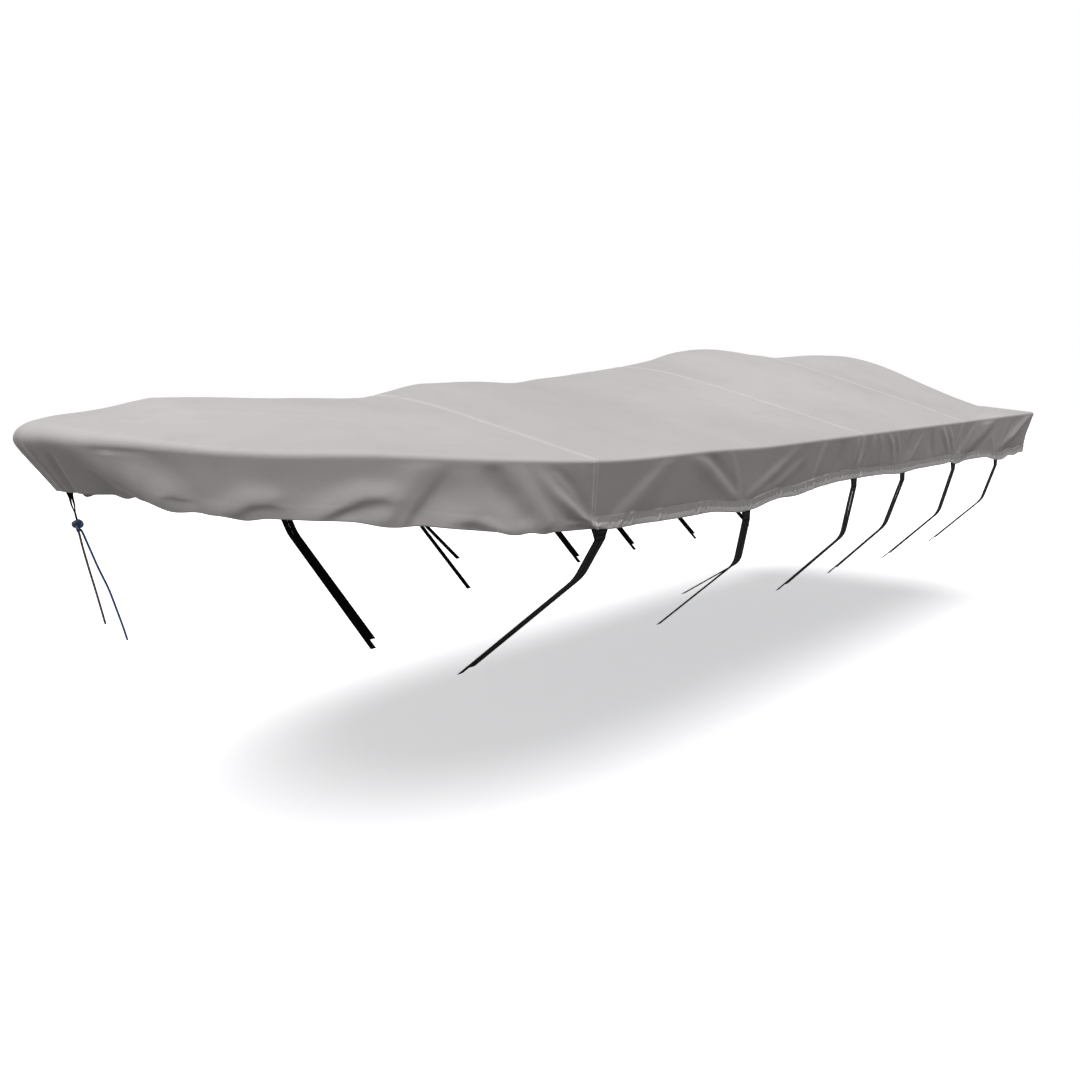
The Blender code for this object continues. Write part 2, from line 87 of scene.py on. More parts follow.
# the ridge: along X, across Y, height
CREST = (
    (-2.53, 0.0, 0.188), (-2.46, 0.0, 0.201), (-2.38, 0.01, 0.208), (-2.29, 0.03, 0.219),
    (-2.21, 0.05, 0.232), (-2.16, 0.055, 0.238), (-2.05, 0.07, 0.238), (-1.8, 0.1, 0.229),
    (-1.36, 0.12, 0.22), (-1.18, 0.17, 0.244), (-1.0, 0.22, 0.268), (-0.75, 0.25, 0.271),
    (-0.48, 0.28, 0.262), (-0.25, 0.3, 0.28), (0.2, 0.34, 0.315), (0.62, 0.38, 0.358),
    (0.95, 0.4, 0.415), (1.15, 0.4, 0.428), (1.45, 0.37, 0.4), (1.72, 0.28, 0.376), (2.0, 0.2, 0.386),
    (2.22, 0.12, 0.382), (2.38, 0.05, 0.35), (2.5, 0.0, 0.246), (2.6, 0.0, 0.09),
)
CREST_WIDE_FROM = 0.5
# along X, width of the flat beside the gunwale
MARGIN = ((1.5, 0.0), (1.9, 0.06), (2.3, 0.17), (2.6, 0.27))
MARGIN_SLOPE = 0.14
MARGIN_SAG = 0.25
ROOF_SWELL = 0.2
ROOF_POWER = 5
# along X, height of the hem
HEM = (
    (-2.53, 0.004), (-2.44, -0.006), (-2.32, -0.036), (-2.2, -0.068), (-1.95, -0.098), (-1.6, -0.158),
    (-1.3, -0.186), (-0.8, -0.2), (-0.2, -0.196), (0.2, -0.184), (0.8, -0.196), (1.6, -0.205),
    (2.6, -0.226),
)
# where the ties pull the hem down: along X, half width, depth
HEM_PULLS = (
    (-1.54, 0.1, 0.012), (-0.52, 0.26, 0.024), (0.76, 0.2, 0.008), (1.42, 0.16, 0.012),
    (2.06, 0.24, 0.026),
)

# The starboard hem is lifted next to the bow: along X, half width, height, lean.
STARBOARD_LIFT = (-2.35, 0.17, 0.032, 0.022)

# Small sags and lifts of the cloth's hem: along X, half width, depth.
HEM_RIPPLES = (
    (-2.5, 0.1, 0.01), (-2.43, 0.03, 0.01), (-2.33, 0.05, 0.016), (-2.27, 0.06, 0.008),
    (-2.205, 0.05, 0.009), (-1.91, 0.09, 0.01), (-1.61, 0.04, 0.004), (-1.535, 0.05, -0.009),
    (-1.23, 0.12, 0.005), (-0.18, 0.2, 0.009), (1.36, 0.09, -0.01), (2.15, 0.12, 0.007),
    (2.34, 0.17, 0.013),
)

# Creases of the skirt, each a line of places with the crease's form there:
# along X, share of the drop, reach above the line, reach below it, height.
# A hollow is negative. The reaches give a fold a soft flank and a sharp one.
PORT_CREASES = (
    # the soft swell of the bow's skirt over the hull
    ((-2.36, 0.5, 0.09, 0.06, 0.001), (-2.25, 0.66, 0.11, 0.055, 0.005),
     (-2.05, 0.8, 0.12, 0.045, 0.008), (-1.8, 0.84, 0.12, 0.045, 0.011), (-1.6, 0.86, 0.11, 0.04, 0.01),
     (-1.4, 0.86, 0.08, 0.04, 0.002)),
    # the nose: a narrow fold, then the broad ridge from the same point
    ((-2.503, 0.04, 0.016, 0.012, -0.005), (-2.511, 0.34, 0.02, 0.014, -0.013),
     (-2.515, 0.68, 0.02, 0.014, -0.012), (-2.516, 0.96, 0.018, 0.014, -0.007)),
    ((-2.488, 0.06, 0.02, 0.02, 0.001), (-2.47, 0.16, 0.05, 0.028, 0.007),
     (-2.452, 0.28, 0.074, 0.034, 0.016), (-2.425, 0.42, 0.11, 0.038, 0.028),
     (-2.392, 0.56, 0.125, 0.038, 0.034), (-2.36, 0.7, 0.12, 0.036, 0.029),
     (-2.325, 0.84, 0.08, 0.034, 0.012), (-2.3, 0.96, 0.05, 0.03, 0.003)),
    # two rounded folds that end above the hem
    ((-2.28, 0.84, 0.05, 0.022, 0.001), (-2.228, 0.7, 0.06, 0.022, 0.006),
     (-2.19, 0.56, 0.06, 0.02, 0.008), (-2.152, 0.54, 0.05, 0.018, 0.007),
     (-2.132, 0.59, 0.026, 0.016, 0.002)),
    ((-2.24, 0.94, 0.024, 0.026, 0.001), (-2.185, 0.87, 0.026, 0.03, 0.004),
     (-2.13, 0.86, 0.024, 0.026, 0.001)),
    ((-2.1, 0.83, 0.045, 0.022, 0.001), (-2.055, 0.73, 0.06, 0.02, 0.006),
     (-2.012, 0.61, 0.066, 0.016, 0.009), (-1.963, 0.51, 0.066, 0.014, 0.011),
     (-1.921, 0.49, 0.06, 0.012, 0.01), (-1.892, 0.52, 0.03, 0.012, 0.003)),
    ((-2.07, 0.9, 0.022, 0.028, 0.001), (-2.0, 0.8, 0.028, 0.034, 0.004),
     (-1.915, 0.74, 0.026, 0.034, 0.001)),
    # the long slanting fold before the droop, and the droop's own ridge
    ((-1.79, 0.0, 0.06, 0.034, 0.001), (-1.838, 0.23, 0.07, 0.038, 0.004),
     (-1.874, 0.45, 0.07, 0.036, 0.006), (-1.908, 0.7, 0.06, 0.032, 0.005),
     (-1.934, 0.92, 0.04, 0.026, 0.002)),
    ((-1.75, 0.1, 0.02, 0.1, -0.001), (-1.79, 0.4, 0.03, 0.12, -0.01), (-1.84, 0.7, 0.03, 0.12, -0.012),
     (-1.87, 0.92, 0.02, 0.08, -0.004)),
    ((-1.65, 0.02, 0.044, 0.066, -0.002), (-1.63, 0.2, 0.048, 0.07, -0.01),
     (-1.594, 0.46, 0.05, 0.07, -0.017), (-1.552, 0.74, 0.044, 0.07, -0.016),
     (-1.532, 0.96, 0.03, 0.06, -0.005)),
    ((-1.67, 0.8, 0.03, 0.03, 0.002), (-1.63, 0.92, 0.034, 0.04, 0.008),
     (-1.59, 1.0, 0.03, 0.04, 0.005)),
    ((-1.751, 0.86, 0.024, 0.026, -0.002), (-1.705, 0.87, 0.026, 0.026, -0.01),
     (-1.655, 0.94, 0.024, 0.024, -0.004)),
    ((-1.56, 0.1, 0.03, 0.04, 0.002), (-1.52, 0.45, 0.03, 0.05, 0.008),
     (-1.48, 0.8, 0.026, 0.04, 0.006)),
    # the bright ridge that runs to the first seam's foot
    ((-1.505, 0.1, 0.018, 0.03, 0.001), (-1.457, 0.36, 0.018, 0.036, 0.009),
     (-1.404, 0.57, 0.016, 0.038, 0.018), (-1.349, 0.76, 0.013, 0.03, 0.018),
     (-1.31, 0.86, 0.01, 0.018, 0.007)),
    ((-1.463, 0.02, 0.024, 0.02, -0.002), (-1.395, 0.27, 0.026, 0.02, -0.007),
     (-1.345, 0.56, 0.018, 0.016, -0.006), (-1.31, 0.76, 0.01, 0.01, -0.002)),
    ((-1.35, 0.05, 0.016, 0.016, 0.002), (-1.33, 0.4, 0.014, 0.014, 0.004),
     (-1.312, 0.78, 0.01, 0.01, 0.002)),
    # puckers that gather at the first seam's foot
    ((-1.42, 0.84, 0.01, 0.016, 0.001), (-1.36, 0.86, 0.01, 0.014, 0.006),
     (-1.304, 0.9, 0.008, 0.008, 0.003)),
    ((-1.39, 0.97, 0.01, 0.012, 0.001), (-1.35, 0.94, 0.01, 0.01, 0.005),
     (-1.304, 0.91, 0.008, 0.008, 0.003)),
    ((-1.345, 0.74, 0.008, 0.01, 0.001), (-1.322, 0.82, 0.008, 0.01, 0.004),
     (-1.303, 0.89, 0.006, 0.008, 0.002)),
    ((-1.23, 0.86, 0.01, 0.012, 0.001), (-1.262, 0.88, 0.008, 0.01, 0.004),
     (-1.296, 0.9, 0.008, 0.008, 0.002)),
    ((-1.235, 0.97, 0.008, 0.01, 0.001), (-1.265, 0.94, 0.008, 0.01, 0.004),
     (-1.296, 0.91, 0.008, 0.008, 0.002)),
    # folds between the first and the second tie
    ((-0.985, 0.05, 0.027, 0.062, 0.0024), (-1.08, 0.4, 0.037, 0.088, 0.0072),
     (-1.2, 0.8, 0.033, 0.075, 0.0048)),
    ((-0.85, 0.02, 0.022, 0.05, 0.0024), (-0.77, 0.2, 0.027, 0.069, 0.0096),
     (-0.67, 0.5, 0.025, 0.056, 0.008), (-0.56, 0.82, 0.015, 0.025, 0.0032)),
    ((-0.78, 0.02, 0.03, 0.05, -0.0024), (-0.69, 0.26, 0.03, 0.056, -0.0064),
     (-0.6, 0.62, 0.022, 0.037, -0.004)),
    ((-0.64, 0.02, 0.025, 0.025, 0.0016), (-0.6, 0.35, 0.022, 0.022, 0.004),
     (-0.55, 0.8, 0.015, 0.015, 0.0016)),
    ((-0.19, 0.1, 0.02, 0.037, 0.0016), (-0.33, 0.42, 0.027, 0.05, 0.008),
     (-0.5, 0.78, 0.018, 0.03, 0.0032)),
    ((-0.12, 0.3, 0.025, 0.03, 0.0016), (-0.28, 0.62, 0.027, 0.037, 0.0056),
     (-0.44, 0.84, 0.015, 0.025, 0.0024)),
    # fine upright folds between the second seam's ties
    ((0.03, 0.02, 0.015, 0.037, 0.0023), (0.01, 0.3, 0.02, 0.045, 0.007),
     (-0.03, 0.74, 0.02, 0.037, 0.0035)),
    ((0.18, 0.04, 0.03, 0.05, -0.002), (0.18, 0.4, 0.034, 0.06, -0.006),
     (0.19, 0.8, 0.026, 0.04, -0.002)),
    ((0.326, -0.02, 0.016, 0.018, 0.004), (0.322, 0.27, 0.018, 0.022, 0.009),
     (0.309, 0.65, 0.014, 0.018, 0.003)),
    ((0.382, 0.01, 0.014, 0.016, 0.003), (0.381, 0.36, 0.016, 0.018, 0.007),
     (0.342, 0.66, 0.012, 0.016, 0.003)),
    ((0.47, -0.01, 0.018, 0.02, 0.005), (0.47, 0.29, 0.02, 0.024, 0.01),
     (0.463, 0.75, 0.016, 0.018, 0.003)),
    ((0.523, -0.04, 0.014, 0.016, 0.004), (0.551, 0.28, 0.016, 0.02, 0.009),
     (0.571, 0.64, 0.014, 0.016, 0.003)),
    ((0.604, 0.0, 0.016, 0.016, 0.004), (0.656, 0.27, 0.018, 0.022, 0.01),
     (0.698, 0.59, 0.014, 0.018, 0.003)),
    ((0.69, 0.04, 0.014, 0.016, 0.003), (0.725, 0.29, 0.016, 0.018, 0.007),
     (0.76, 0.61, 0.014, 0.016, 0.002)),
    ((0.87, 0.05, 0.03, 0.05, -0.002), (0.84, 0.4, 0.034, 0.06, -0.007), (0.8, 0.8, 0.02, 0.04, -0.002)),
    ((0.974, 0.2, 0.016, 0.018, 0.002), (0.934, 0.41, 0.018, 0.022, 0.008),
     (0.881, 0.74, 0.014, 0.018, 0.003)),
    ((1.08, 0.08, 0.03, 0.05, -0.002), (1.11, 0.4, 0.034, 0.06, -0.007),
     (1.17, 0.8, 0.02, 0.04, -0.002)),
    ((1.202, 0.01, 0.018, 0.02, 0.004), (1.264, 0.29, 0.02, 0.024, 0.01),
     (1.346, 0.63, 0.016, 0.02, 0.004)),
    ((1.288, 0.04, 0.014, 0.016, 0.003), (1.352, 0.32, 0.016, 0.02, 0.009),
     (1.401, 0.61, 0.014, 0.016, 0.004)),
    ((1.467, 0.05, 0.014, 0.018, 0.003), (1.448, 0.33, 0.016, 0.022, 0.008),
     (1.418, 0.61, 0.012, 0.016, 0.004)),
    # broad folds of the stern quarter, drawn to the last two ties
    ((1.93, 0.06, 0.062, 0.033, 0.0024), (1.8, 0.3, 0.1, 0.043, 0.0128),
     (1.64, 0.58, 0.1, 0.043, 0.012), (1.45, 0.86, 0.037, 0.022, 0.004)),
    ((1.98, 0.16, 0.035, 0.05, -0.0016), (1.83, 0.46, 0.037, 0.057, -0.0072),
     (1.66, 0.7, 0.035, 0.05, -0.0048)),
    ((1.7, 0.04, 0.033, 0.033, 0.0016), (1.61, 0.28, 0.037, 0.033, 0.0048),
     (1.5, 0.66, 0.027, 0.025, 0.0024)),
    ((2.4, 0.24, 0.05, 0.03, 0.0024), (2.27, 0.5, 0.069, 0.035, 0.0096),
     (2.085, 0.8, 0.033, 0.02, 0.0032)),
    ((2.56, 0.0, 0.034, 0.024, 0.0032), (2.41, 0.28, 0.042, 0.03, 0.014),
     (2.262, 0.55, 0.038, 0.027, 0.013), (2.09, 0.8, 0.022, 0.015, 0.004)),
    ((2.2, 0.05, 0.03, 0.03, 0.0016), (2.15, 0.36, 0.033, 0.027, 0.0048),
     (2.06, 0.8, 0.018, 0.018, 0.0024)),
    ((1.9, 0.4, 0.03, 0.027, 0.0008), (1.96, 0.6, 0.03, 0.025, 0.004),
     (2.01, 0.84, 0.018, 0.015, 0.0016)),
)
STARBOARD_CREASES = (
    ((-2.42, 0.62, 0.05, 0.1, 0.0), (-2.26, 0.78, 0.06, 0.13, 0.008), (-1.95, 0.84, 0.06, 0.14, 0.018),
     (-1.6, 0.84, 0.05, 0.14, 0.018), (-1.34, 0.86, 0.04, 0.1, 0.005)),
    ((-2.502, 0.05, 0.014, 0.014, -0.002), (-2.465, 0.4, 0.016, 0.016, -0.006),
     (-2.42, 0.9, 0.02, 0.02, -0.004)),
    ((-2.49, 0.02, 0.016, 0.02, 0.003), (-2.43, 0.28, 0.034, 0.065, 0.016),
     (-2.34, 0.58, 0.042, 0.09, 0.019), (-2.23, 0.9, 0.04, 0.09, 0.008)),
    ((-2.2, 0.84, 0.022, 0.05, 0.003), (-2.08, 0.66, 0.02, 0.07, 0.015),
     (-1.99, 0.6, 0.018, 0.05, 0.006)),
    ((-1.98, 0.9, 0.024, 0.05, 0.004), (-1.87, 0.66, 0.018, 0.08, 0.018),
     (-1.76, 0.54, 0.016, 0.06, 0.01), (-1.71, 0.56, 0.016, 0.03, 0.002)),
    ((-1.69, 0.08, 0.03, 0.05, 0.003), (-1.64, 0.45, 0.035, 0.07, 0.012),
     (-1.575, 0.98, 0.03, 0.055, 0.016)),
    ((-1.6, 0.06, 0.04, 0.03, -0.003), (-1.545, 0.5, 0.045, 0.03, -0.009),
     (-1.5, 0.92, 0.04, 0.026, -0.006)),
    ((-1.48, 0.05, 0.024, 0.045, 0.003), (-1.4, 0.45, 0.024, 0.055, 0.015),
     (-1.32, 0.84, 0.016, 0.03, 0.006)),
    ((-1.06, 0.06, 0.05, 0.022, 0.003), (-1.14, 0.45, 0.06, 0.026, 0.008),
     (-1.23, 0.82, 0.04, 0.02, 0.004)),
    ((-0.83, 0.04, 0.02, 0.05, 0.003), (-0.7, 0.38, 0.022, 0.055, 0.011),
     (-0.55, 0.82, 0.014, 0.024, 0.004)),
    ((-0.22, 0.08, 0.03, 0.02, 0.002), (-0.35, 0.44, 0.04, 0.022, 0.01),
     (-0.5, 0.8, 0.024, 0.014, 0.003)),
    ((0.09, 0.02, 0.018, 0.01, 0.003), (0.11, 0.35, 0.024, 0.012, 0.008),
     (0.15, 0.78, 0.018, 0.01, 0.003)),
    ((0.29, 0.04, 0.018, 0.01, 0.002), (0.31, 0.4, 0.022, 0.012, 0.008),
     (0.36, 0.78, 0.018, 0.01, 0.003)),
    ((0.52, 0.02, 0.026, 0.012, 0.003), (0.56, 0.35, 0.03, 0.014, 0.009),
     (0.62, 0.76, 0.024, 0.012, 0.003)),
    ((0.74, 0.04, 0.026, 0.012, 0.002), (0.775, 0.4, 0.03, 0.014, 0.009),
     (0.83, 0.76, 0.024, 0.012, 0.003)),
    ((1.06, 0.06, 0.032, 0.014, 0.003), (1.13, 0.4, 0.038, 0.016, 0.009),
     (1.24, 0.76, 0.028, 0.014, 0.003)),
    ((1.9, 0.06, 0.03, 0.05, 0.003), (1.76, 0.36, 0.034, 0.08, 0.015), (1.6, 0.62, 0.034, 0.07, 0.013),
     (1.45, 0.86, 0.018, 0.03, 0.004)),
    ((2.56, 0.02, 0.02, 0.045, 0.004), (2.38, 0.32, 0.024, 0.055, 0.014),
     (2.22, 0.62, 0.02, 0.045, 0.011), (2.09, 0.86, 0.012, 0.02, 0.003)),
    ((2.24, 0.06, 0.022, 0.024, 0.002), (2.16, 0.42, 0.022, 0.026, 0.006),
     (2.07, 0.82, 0.014, 0.014, 0.003)),
)
# On the stern flap the first number runs across Y.
STERN_CREASES = (
    ((-0.86, 0.05, 0.04, 0.04, 0.003), (-0.78, 0.4, 0.05, 0.05, 0.01), (-0.7, 0.84, 0.04, 0.04, 0.004)),
    ((-0.56, 0.06, 0.04, 0.04, -0.003), (-0.6, 0.45, 0.045, 0.045, -0.008),
     (-0.64, 0.84, 0.03, 0.03, -0.003)),
    ((-0.12, 0.05, 0.05, 0.05, 0.002), (-0.18, 0.45, 0.06, 0.06, 0.007),
     (-0.22, 0.84, 0.05, 0.05, 0.003)),
    ((0.3, 0.05, 0.045, 0.045, 0.002), (0.34, 0.45, 0.055, 0.055, 0.007),
     (0.4, 0.84, 0.04, 0.04, 0.003)),
    ((0.82, 0.05, 0.04, 0.04, 0.003), (0.74, 0.45, 0.05, 0.05, 0.01), (0.66, 0.84, 0.04, 0.04, 0.004)),
)
# Soft creases of the top: along X and across Y of both ends, half width, height.
TOP_CREASES = (
    (-2.44, -0.06, -1.7, -0.36, 0.05, 0.0022), (-2.4, -0.16, -1.95, -0.46, 0.035, -0.0018),
    (-2.36, 0.04, -1.5, 0.1, 0.06, 0.0018), (-2.3, -0.26, -1.55, -0.64, 0.04, 0.0016),
    (-2.1, -0.2, -1.36, -0.3, 0.06, -0.0016), (-1.95, -0.6, -1.34, -0.78, 0.035, -0.0012),
    (-1.26, -0.86, -0.86, -0.62, 0.045, 0.0012), (-1.24, -0.6, -0.4, -0.4, 0.07, -0.0014),
    (-0.5, -0.9, 0.1, -0.66, 0.06, 0.0012), (-0.3, 0.1, 0.34, 0.24, 0.08, 0.0016),
    (0.42, -0.7, 1.3, -0.5, 0.08, -0.0014), (0.62, -0.1, 1.4, 0.08, 0.07, 0.0014),
    (1.6, -0.9, 2.2, -0.4, 0.06, 0.0016), (1.9, -0.9, 2.4, -0.56, 0.045, -0.0014),
    (2.56, -0.92, 2.1, -0.2, 0.06, 0.0022), (2.56, 0.92, 2.1, 0.3, 0.06, 0.0022),
)

# the four panels, and the length and the width of each laid flat
PANEL_PIECES = ("bow_cloth", "mid_cloth", "aft_cloth", "stern_cloth")
PANEL_FLAT = ((1.55, 2.5), (1.67, 2.75), (1.13, 2.85), (1.4, 2.8))

# ------------------------------------------------------------ the cloth's relief
CASING_SWELL = 0.003
CASING_ROUNDNESS = 0.6
CASING_FLARE = 0.016
CASING_GROOVE = 0.003      # the groove along the casing's stitching
GROOVE_PLACE = 0.1
GROOVE_REACH = 0.14
CASING_BACK = 0.0045
CASING_FADE = 0.02         # length at the first seam over which the casing starts
PLAIN_HEM = 0.06           # share of the casing's form on the hem before that seam
PUCKER_SEED = 5
PUCKER_DEPTH = 0.0056
PUCKER_RUN = 4.8           # length along which the puckers are laid
PUCKER_PITCH = 0.028
PUCKER_GAPS = (0.4, 1.6)   # least and most, as shares of the pitch
PUCKER_SLANTS = (0.01, 0.046)
PUCKER_WIDTHS = (0.006, 0.014)
PUCKER_HEIGHTS = (-0.5, 1.0)
PUCKER_START = 0.3         # angles of the sine that fades them down the casing
PUCKER_FALL = 0.6
CORNER_PLACE = 2.5         # the puckers are slight round the stern corner
CORNER_REACH = 0.3
CORNER_CALM = 0.8
SEAM_BAND = 0.0011         # height of the seam's raised band
SEAM_EDGE = 0.0016         # width over which the band rises
# share of the painted highlight on the seams, which makes their doubled cloth paler
SEAM_TRIM_HIGHLIGHT = 0.3
SEAM_STITCH = 0.007        # from the seam to each of its rows of stitches
SEAM_PUCKER = 0.0004       # height of the puckers along a seam
SEAM_PUCKER_REACH = 0.045
SEAM_PUCKER_PITCH = 0.034
SEAM_WAVER = 2.0           # the puckers' pitch varies along the seam
SEAM_WAVER_RATE = 11.0
SLACK_SEED = 11            # faint waves of the taut top
SLACK_WAVES = 14
SLACK_LONGEST = 0.62
SLACK_SHORTEST = 0.22
SLACK_HEIGHT = 0.0016
SLACK_COLUMNS = 10.0       # columns beside the fold over which they come in
BOW_RELIEF = 0.12          # length at each end over which all relief comes in
STERN_RELIEF = 0.02
CREASE_END = 0.3           # share of a top crease over which each end fades
CREASE_LEAD = 0.2
CREASE_FADE = 0.022        # length below the fold over which skirt creases come in
DROP = 0.205               # the drop for which the creases' shares are given
BLUR_PASSES = 6
NOSE_PLAIN = 0.018         # length beside the bow's front without creases
NOSE_FULLNESS = 0.012      # how far the nose is drawn out
NOSE_RUN = 0.16

# the softened fold over the gunwale: its reach and strength, aft and at the bow
EDGE_SOFT = 0.022
EDGE_SOFTNESS = 0.1
EDGE_SOFT_FROM = 1.25
BOW_SOFT = 0.08
BOW_SOFT_END = -2.47
NOSE_SOFT_FROM = 1.3
SOFT_ROWS = 8
SOFT_LEVELS = 20
SOFT_PASSES = 60
SOFT_FACTOR = 0.5

# ------------------------------------------------------------ rows and steps of the grid
RUN_STEPS = 6000
PANEL_STEPS = 4000
SLOPE_STEP = 0.002
ARC_ROWS = 6
SKIRT_ROWS = 24
CASING_ROWS = 14
INNER_ROWS = (0.02, 0.25, 0.6, 0.96)    # shares of the casing, up its inner side
HEM_STITCH_ROWS = (-1, 3)               # rows of the grid, from the casing's top
TOP_COLUMNS = 150
EDGE_CROWDING = 0.35
SEAM_SPREAD = (0.002, 0.0045, 0.007, 0.009, 0.011, 0.015)
SEAM_CLEAR = 0.001
SAME_PLACE = 0.0001
TINY = 1e-12
# corners of a face, as steps along the rows and columns of a grid
FACE = ((0, 0), (1, 0), (1, 1), (0, 1))
ROUND_FACE = ((0, 0), (0, 1), (1, 1), (1, 0))

# ------------------------------------------------------------ stitches and ties
# a stitch: corners along it, across it and up, and its faces
BEAD = ((-1, 0, -0.3), (1, 0, -0.3), (0, 1, 0), (0, -1, 0), (0, 0, 1), (0, 0, -1))
BEAD_FACES = ((0, 3, 4), (3, 1, 4), (1, 2, 4), (2, 0, 4), (3, 0, 5), (1, 3, 5), (2, 1, 5), (0, 2, 5))
THREAD_HALF_WIDTH = 0.0014
THREAD_HALF_HEIGHT = 0.0013
STITCH_STEP = 0.002
# across and through the webbing, as shares of its width and thickness
STRAP_SECTION = (
    (-0.5, -0.25), (-0.47, -0.5), (-0.25, -0.5), (0.0, -0.5), (0.25, -0.5), (0.47, -0.5), (0.5, -0.25),
    (0.5, 0.25), (0.47, 0.5), (0.25, 0.5), (0.0, 0.5), (-0.25, 0.5), (-0.47, 0.5), (-0.5, 0.25),
)
# along X, chine Y, chine Z, end Y, end Z, second leg's end Y and Z, spread
TIES = (
    (-1.284, 0.832, -0.345, 0.262, -0.757, 0.3, -0.73, 0.0),
    (-0.52, 0.905, -0.412, 0.56, -0.69, 0.66, -0.56, 0.0),
    (0.308, 0.898, -0.428, 0.6, -0.7, 0.63, -0.673, 0.0015),
    (0.79, 0.868, -0.45, 0.6, -0.702, 0.63, -0.674, 0.0015),
    (1.4, 0.88, -0.46, 0.6, -0.722, 0.63, -0.696, 0.0015),
    (2.02, 0.88, -0.46, 0.6, -0.722, 0.63, -0.696, 0.0015),
)
LOOP_TOP = 0.056           # width at the hem
LOOP_FOOT = 0.05           # width above the legs
LOOP_TAPER = 1.3
LOOP_DROP = 0.03
LOOP_RISE = 0.001          # the loop starts inside the hem
LOOP_INSET = 0.001
LOOP_POINTS = 9
TACK_PLACES = (2, 3, 6, 7)
TACK_SHARE = 0.42          # half the length of a bar tack in the loop's width
TACK_LIFT = 0.0016
TACK_POINTS = 12
LEG_PITCH = 0.0262
LEG_GAP = 0.0007
CHINE_BEND = 0.03
BEND_STEPS = 8
UPPER_SHARES = (0.0, 0.06, 0.12, 0.2, 0.3, 0.4, 0.55, 0.7, 0.82)
LOWER_SHARES = (0.25, 0.4, 0.55, 0.7, 0.85, 1.0)
SPREAD_PLACE = 0.16        # where the two legs stand furthest apart
SPREAD_REACH = 0.26

# ------------------------------------------------------------ the bow tie
TUBE_SIDE = (0.3, 1.0, 0.2)
CORD_STEP = 0.006
CORD_SIDES = 12
CORD_END = 0.8
KNOT = (-2.431, -0.056, -0.094)
KNOT_SIZE = (0.013, 0.012, 0.019)
KNOT_FULLNESS = 1.5
KNOT_SHIFT = 1.05          # turn from one cord to the other
KNOT_POINTS = 60
FLECKED_CORD = (
    (-2.431, -0.057, -0.1103), (-2.43, -0.058, -0.12), (-2.425, -0.058, -0.16), (-2.415, -0.056, -0.22),
    (-2.404, -0.053, -0.28), (-2.394, -0.049, -0.335), (-2.386, -0.045, -0.38),
)
BLUE_CORD = (
    (-2.4241, -0.0523, -0.107), (-2.419, -0.05, -0.116), (-2.404, -0.042, -0.16),
    (-2.385, -0.036, -0.22), (-2.362, -0.03, -0.285), (-2.345, -0.022, -0.345), (-2.33, -0.014, -0.4),
    (-2.318, -0.006, -0.448),
)
TIE_TOP_X = BOW_TIP + BOW_LEAN + 0.014
TIE_TOP_Y = -0.003
TIE_RISE = 0.0008
TIE_FOOT = 0.6             # share of the knot's half height at which the loop ends
TIE_POINTS = 25
TIE_WIDTHS = (0.026, 0.016, 0.011, 0.006, 0.008)
TIE_TWIST = math.radians(40)
TIE_THICKNESS = 0.0018
TIE_STRIP = 0.46           # width of each strip and half the space between their
TIE_APART = 0.24           # centres, as shares of the loop's width
TIE_BULGE = 0.0018
TIE_BULGE_PLACE = 0.52
TIE_BULGE_REACH = 0.24

# ------------------------------------------------------------ materials
# roughness and sheen of each
CLOTH_FINISH = (0.8, 0.12)
THREAD_FINISH = (0.5, 0.1)
TACK_FINISH = (0.45, 0.1)
WEBBING_FINISH = (0.8, 0.02)
CORD_FINISH = (0.55, 0.1)
PAPER_FINISH = (0.9, 0.0)
SHEEN_ROUGHNESS = 0.5
WEBBING_SPECULAR = 0.12
# scale, detail and roughness of each noise; the first four are the fading, the
# dust, its specks and the crumples
WEAR_NOISES = ((1.3, 3.0, 0.5), (9.0, 4.0, 0.6), (130.0, 3.0, 0.65), (22.0, 4.0, 0.5))
GRIME_NOISE = (160.0, 3.0, 0.6)
TWIST_NOISE = (900.0, 2.0, 0.5)
SPECK_NOISE = (400.0, 2.0, 0.5)
PAPER_NOISE = (2.0, 2.0, 0.5)
# the range of a value, and the range that it is turned into
FADE_RANGE = (0.35, 0.7, 0.0, 1.0)
DUST_RANGE = (0.45, 0.8, 0.0, 1.0)
SPECK_RANGE = (0.25, 0.75, 0.4, 1.0)
SELVEDGE_RANGE = (0.0012, 0.0024, 0.55, 1.0)
RUBBED_RANGE = (0.55, 1.0, 0.0, 1.0)
GRIME_RANGE = (0.35, 0.7, 0.0, 1.0)
# painted shade: the next two darken the low places between the weave's yarns and between the braid's
# strands
WEAVE_SHADE = (0.0, 1.0, 0.25, 0.0)
BRAID_SHADE = (0.0, 0.7, 0.55, 0.0)
CLOTH_ROUGHNESS = (0.0, 1.0, 0.72, 0.88)
WEBBING_ROUGHNESS = (0.0, 1.0, 0.9, 0.7)
# strength and distance of each bump
CRUMPLE_BUMP = (0.25, 0.004)
WEAVE_BUMP = (0.35, 0.0003)
TWIST_BUMP = (0.4, 0.0002)
SPECK_BUMP = (0.3, 0.0002)
RIB_BUMP = (0.6, 0.0004)
BRAID_BUMP = (0.8, 0.0008)
# how much of each colour is mixed in, and how fine the wear is on small pieces
CLOTH_FADE = 0.5
CLOTH_DUST = 0.35
WEBBING_DUST = 0.03
CORD_DUST = 0.15
FLECKED_TRACER = 0.9
BLUE_TRACER = 0.12
THREAD_WEAR = 3.0
WEBBING_WEAR = 2.0
CORD_WEAR = 4.0
YARNS_PER_METRE = 900.0
CHEVRON_WIDTH = 0.0031
CHEVRON_SLOPE = 1.2
# colour of the painted shade between a cord's strands
CORD_SHADE = (0.01, 0.01, 0.012)
FLOOR_GRAIN = 1.02         # how much paler the paper's grain is

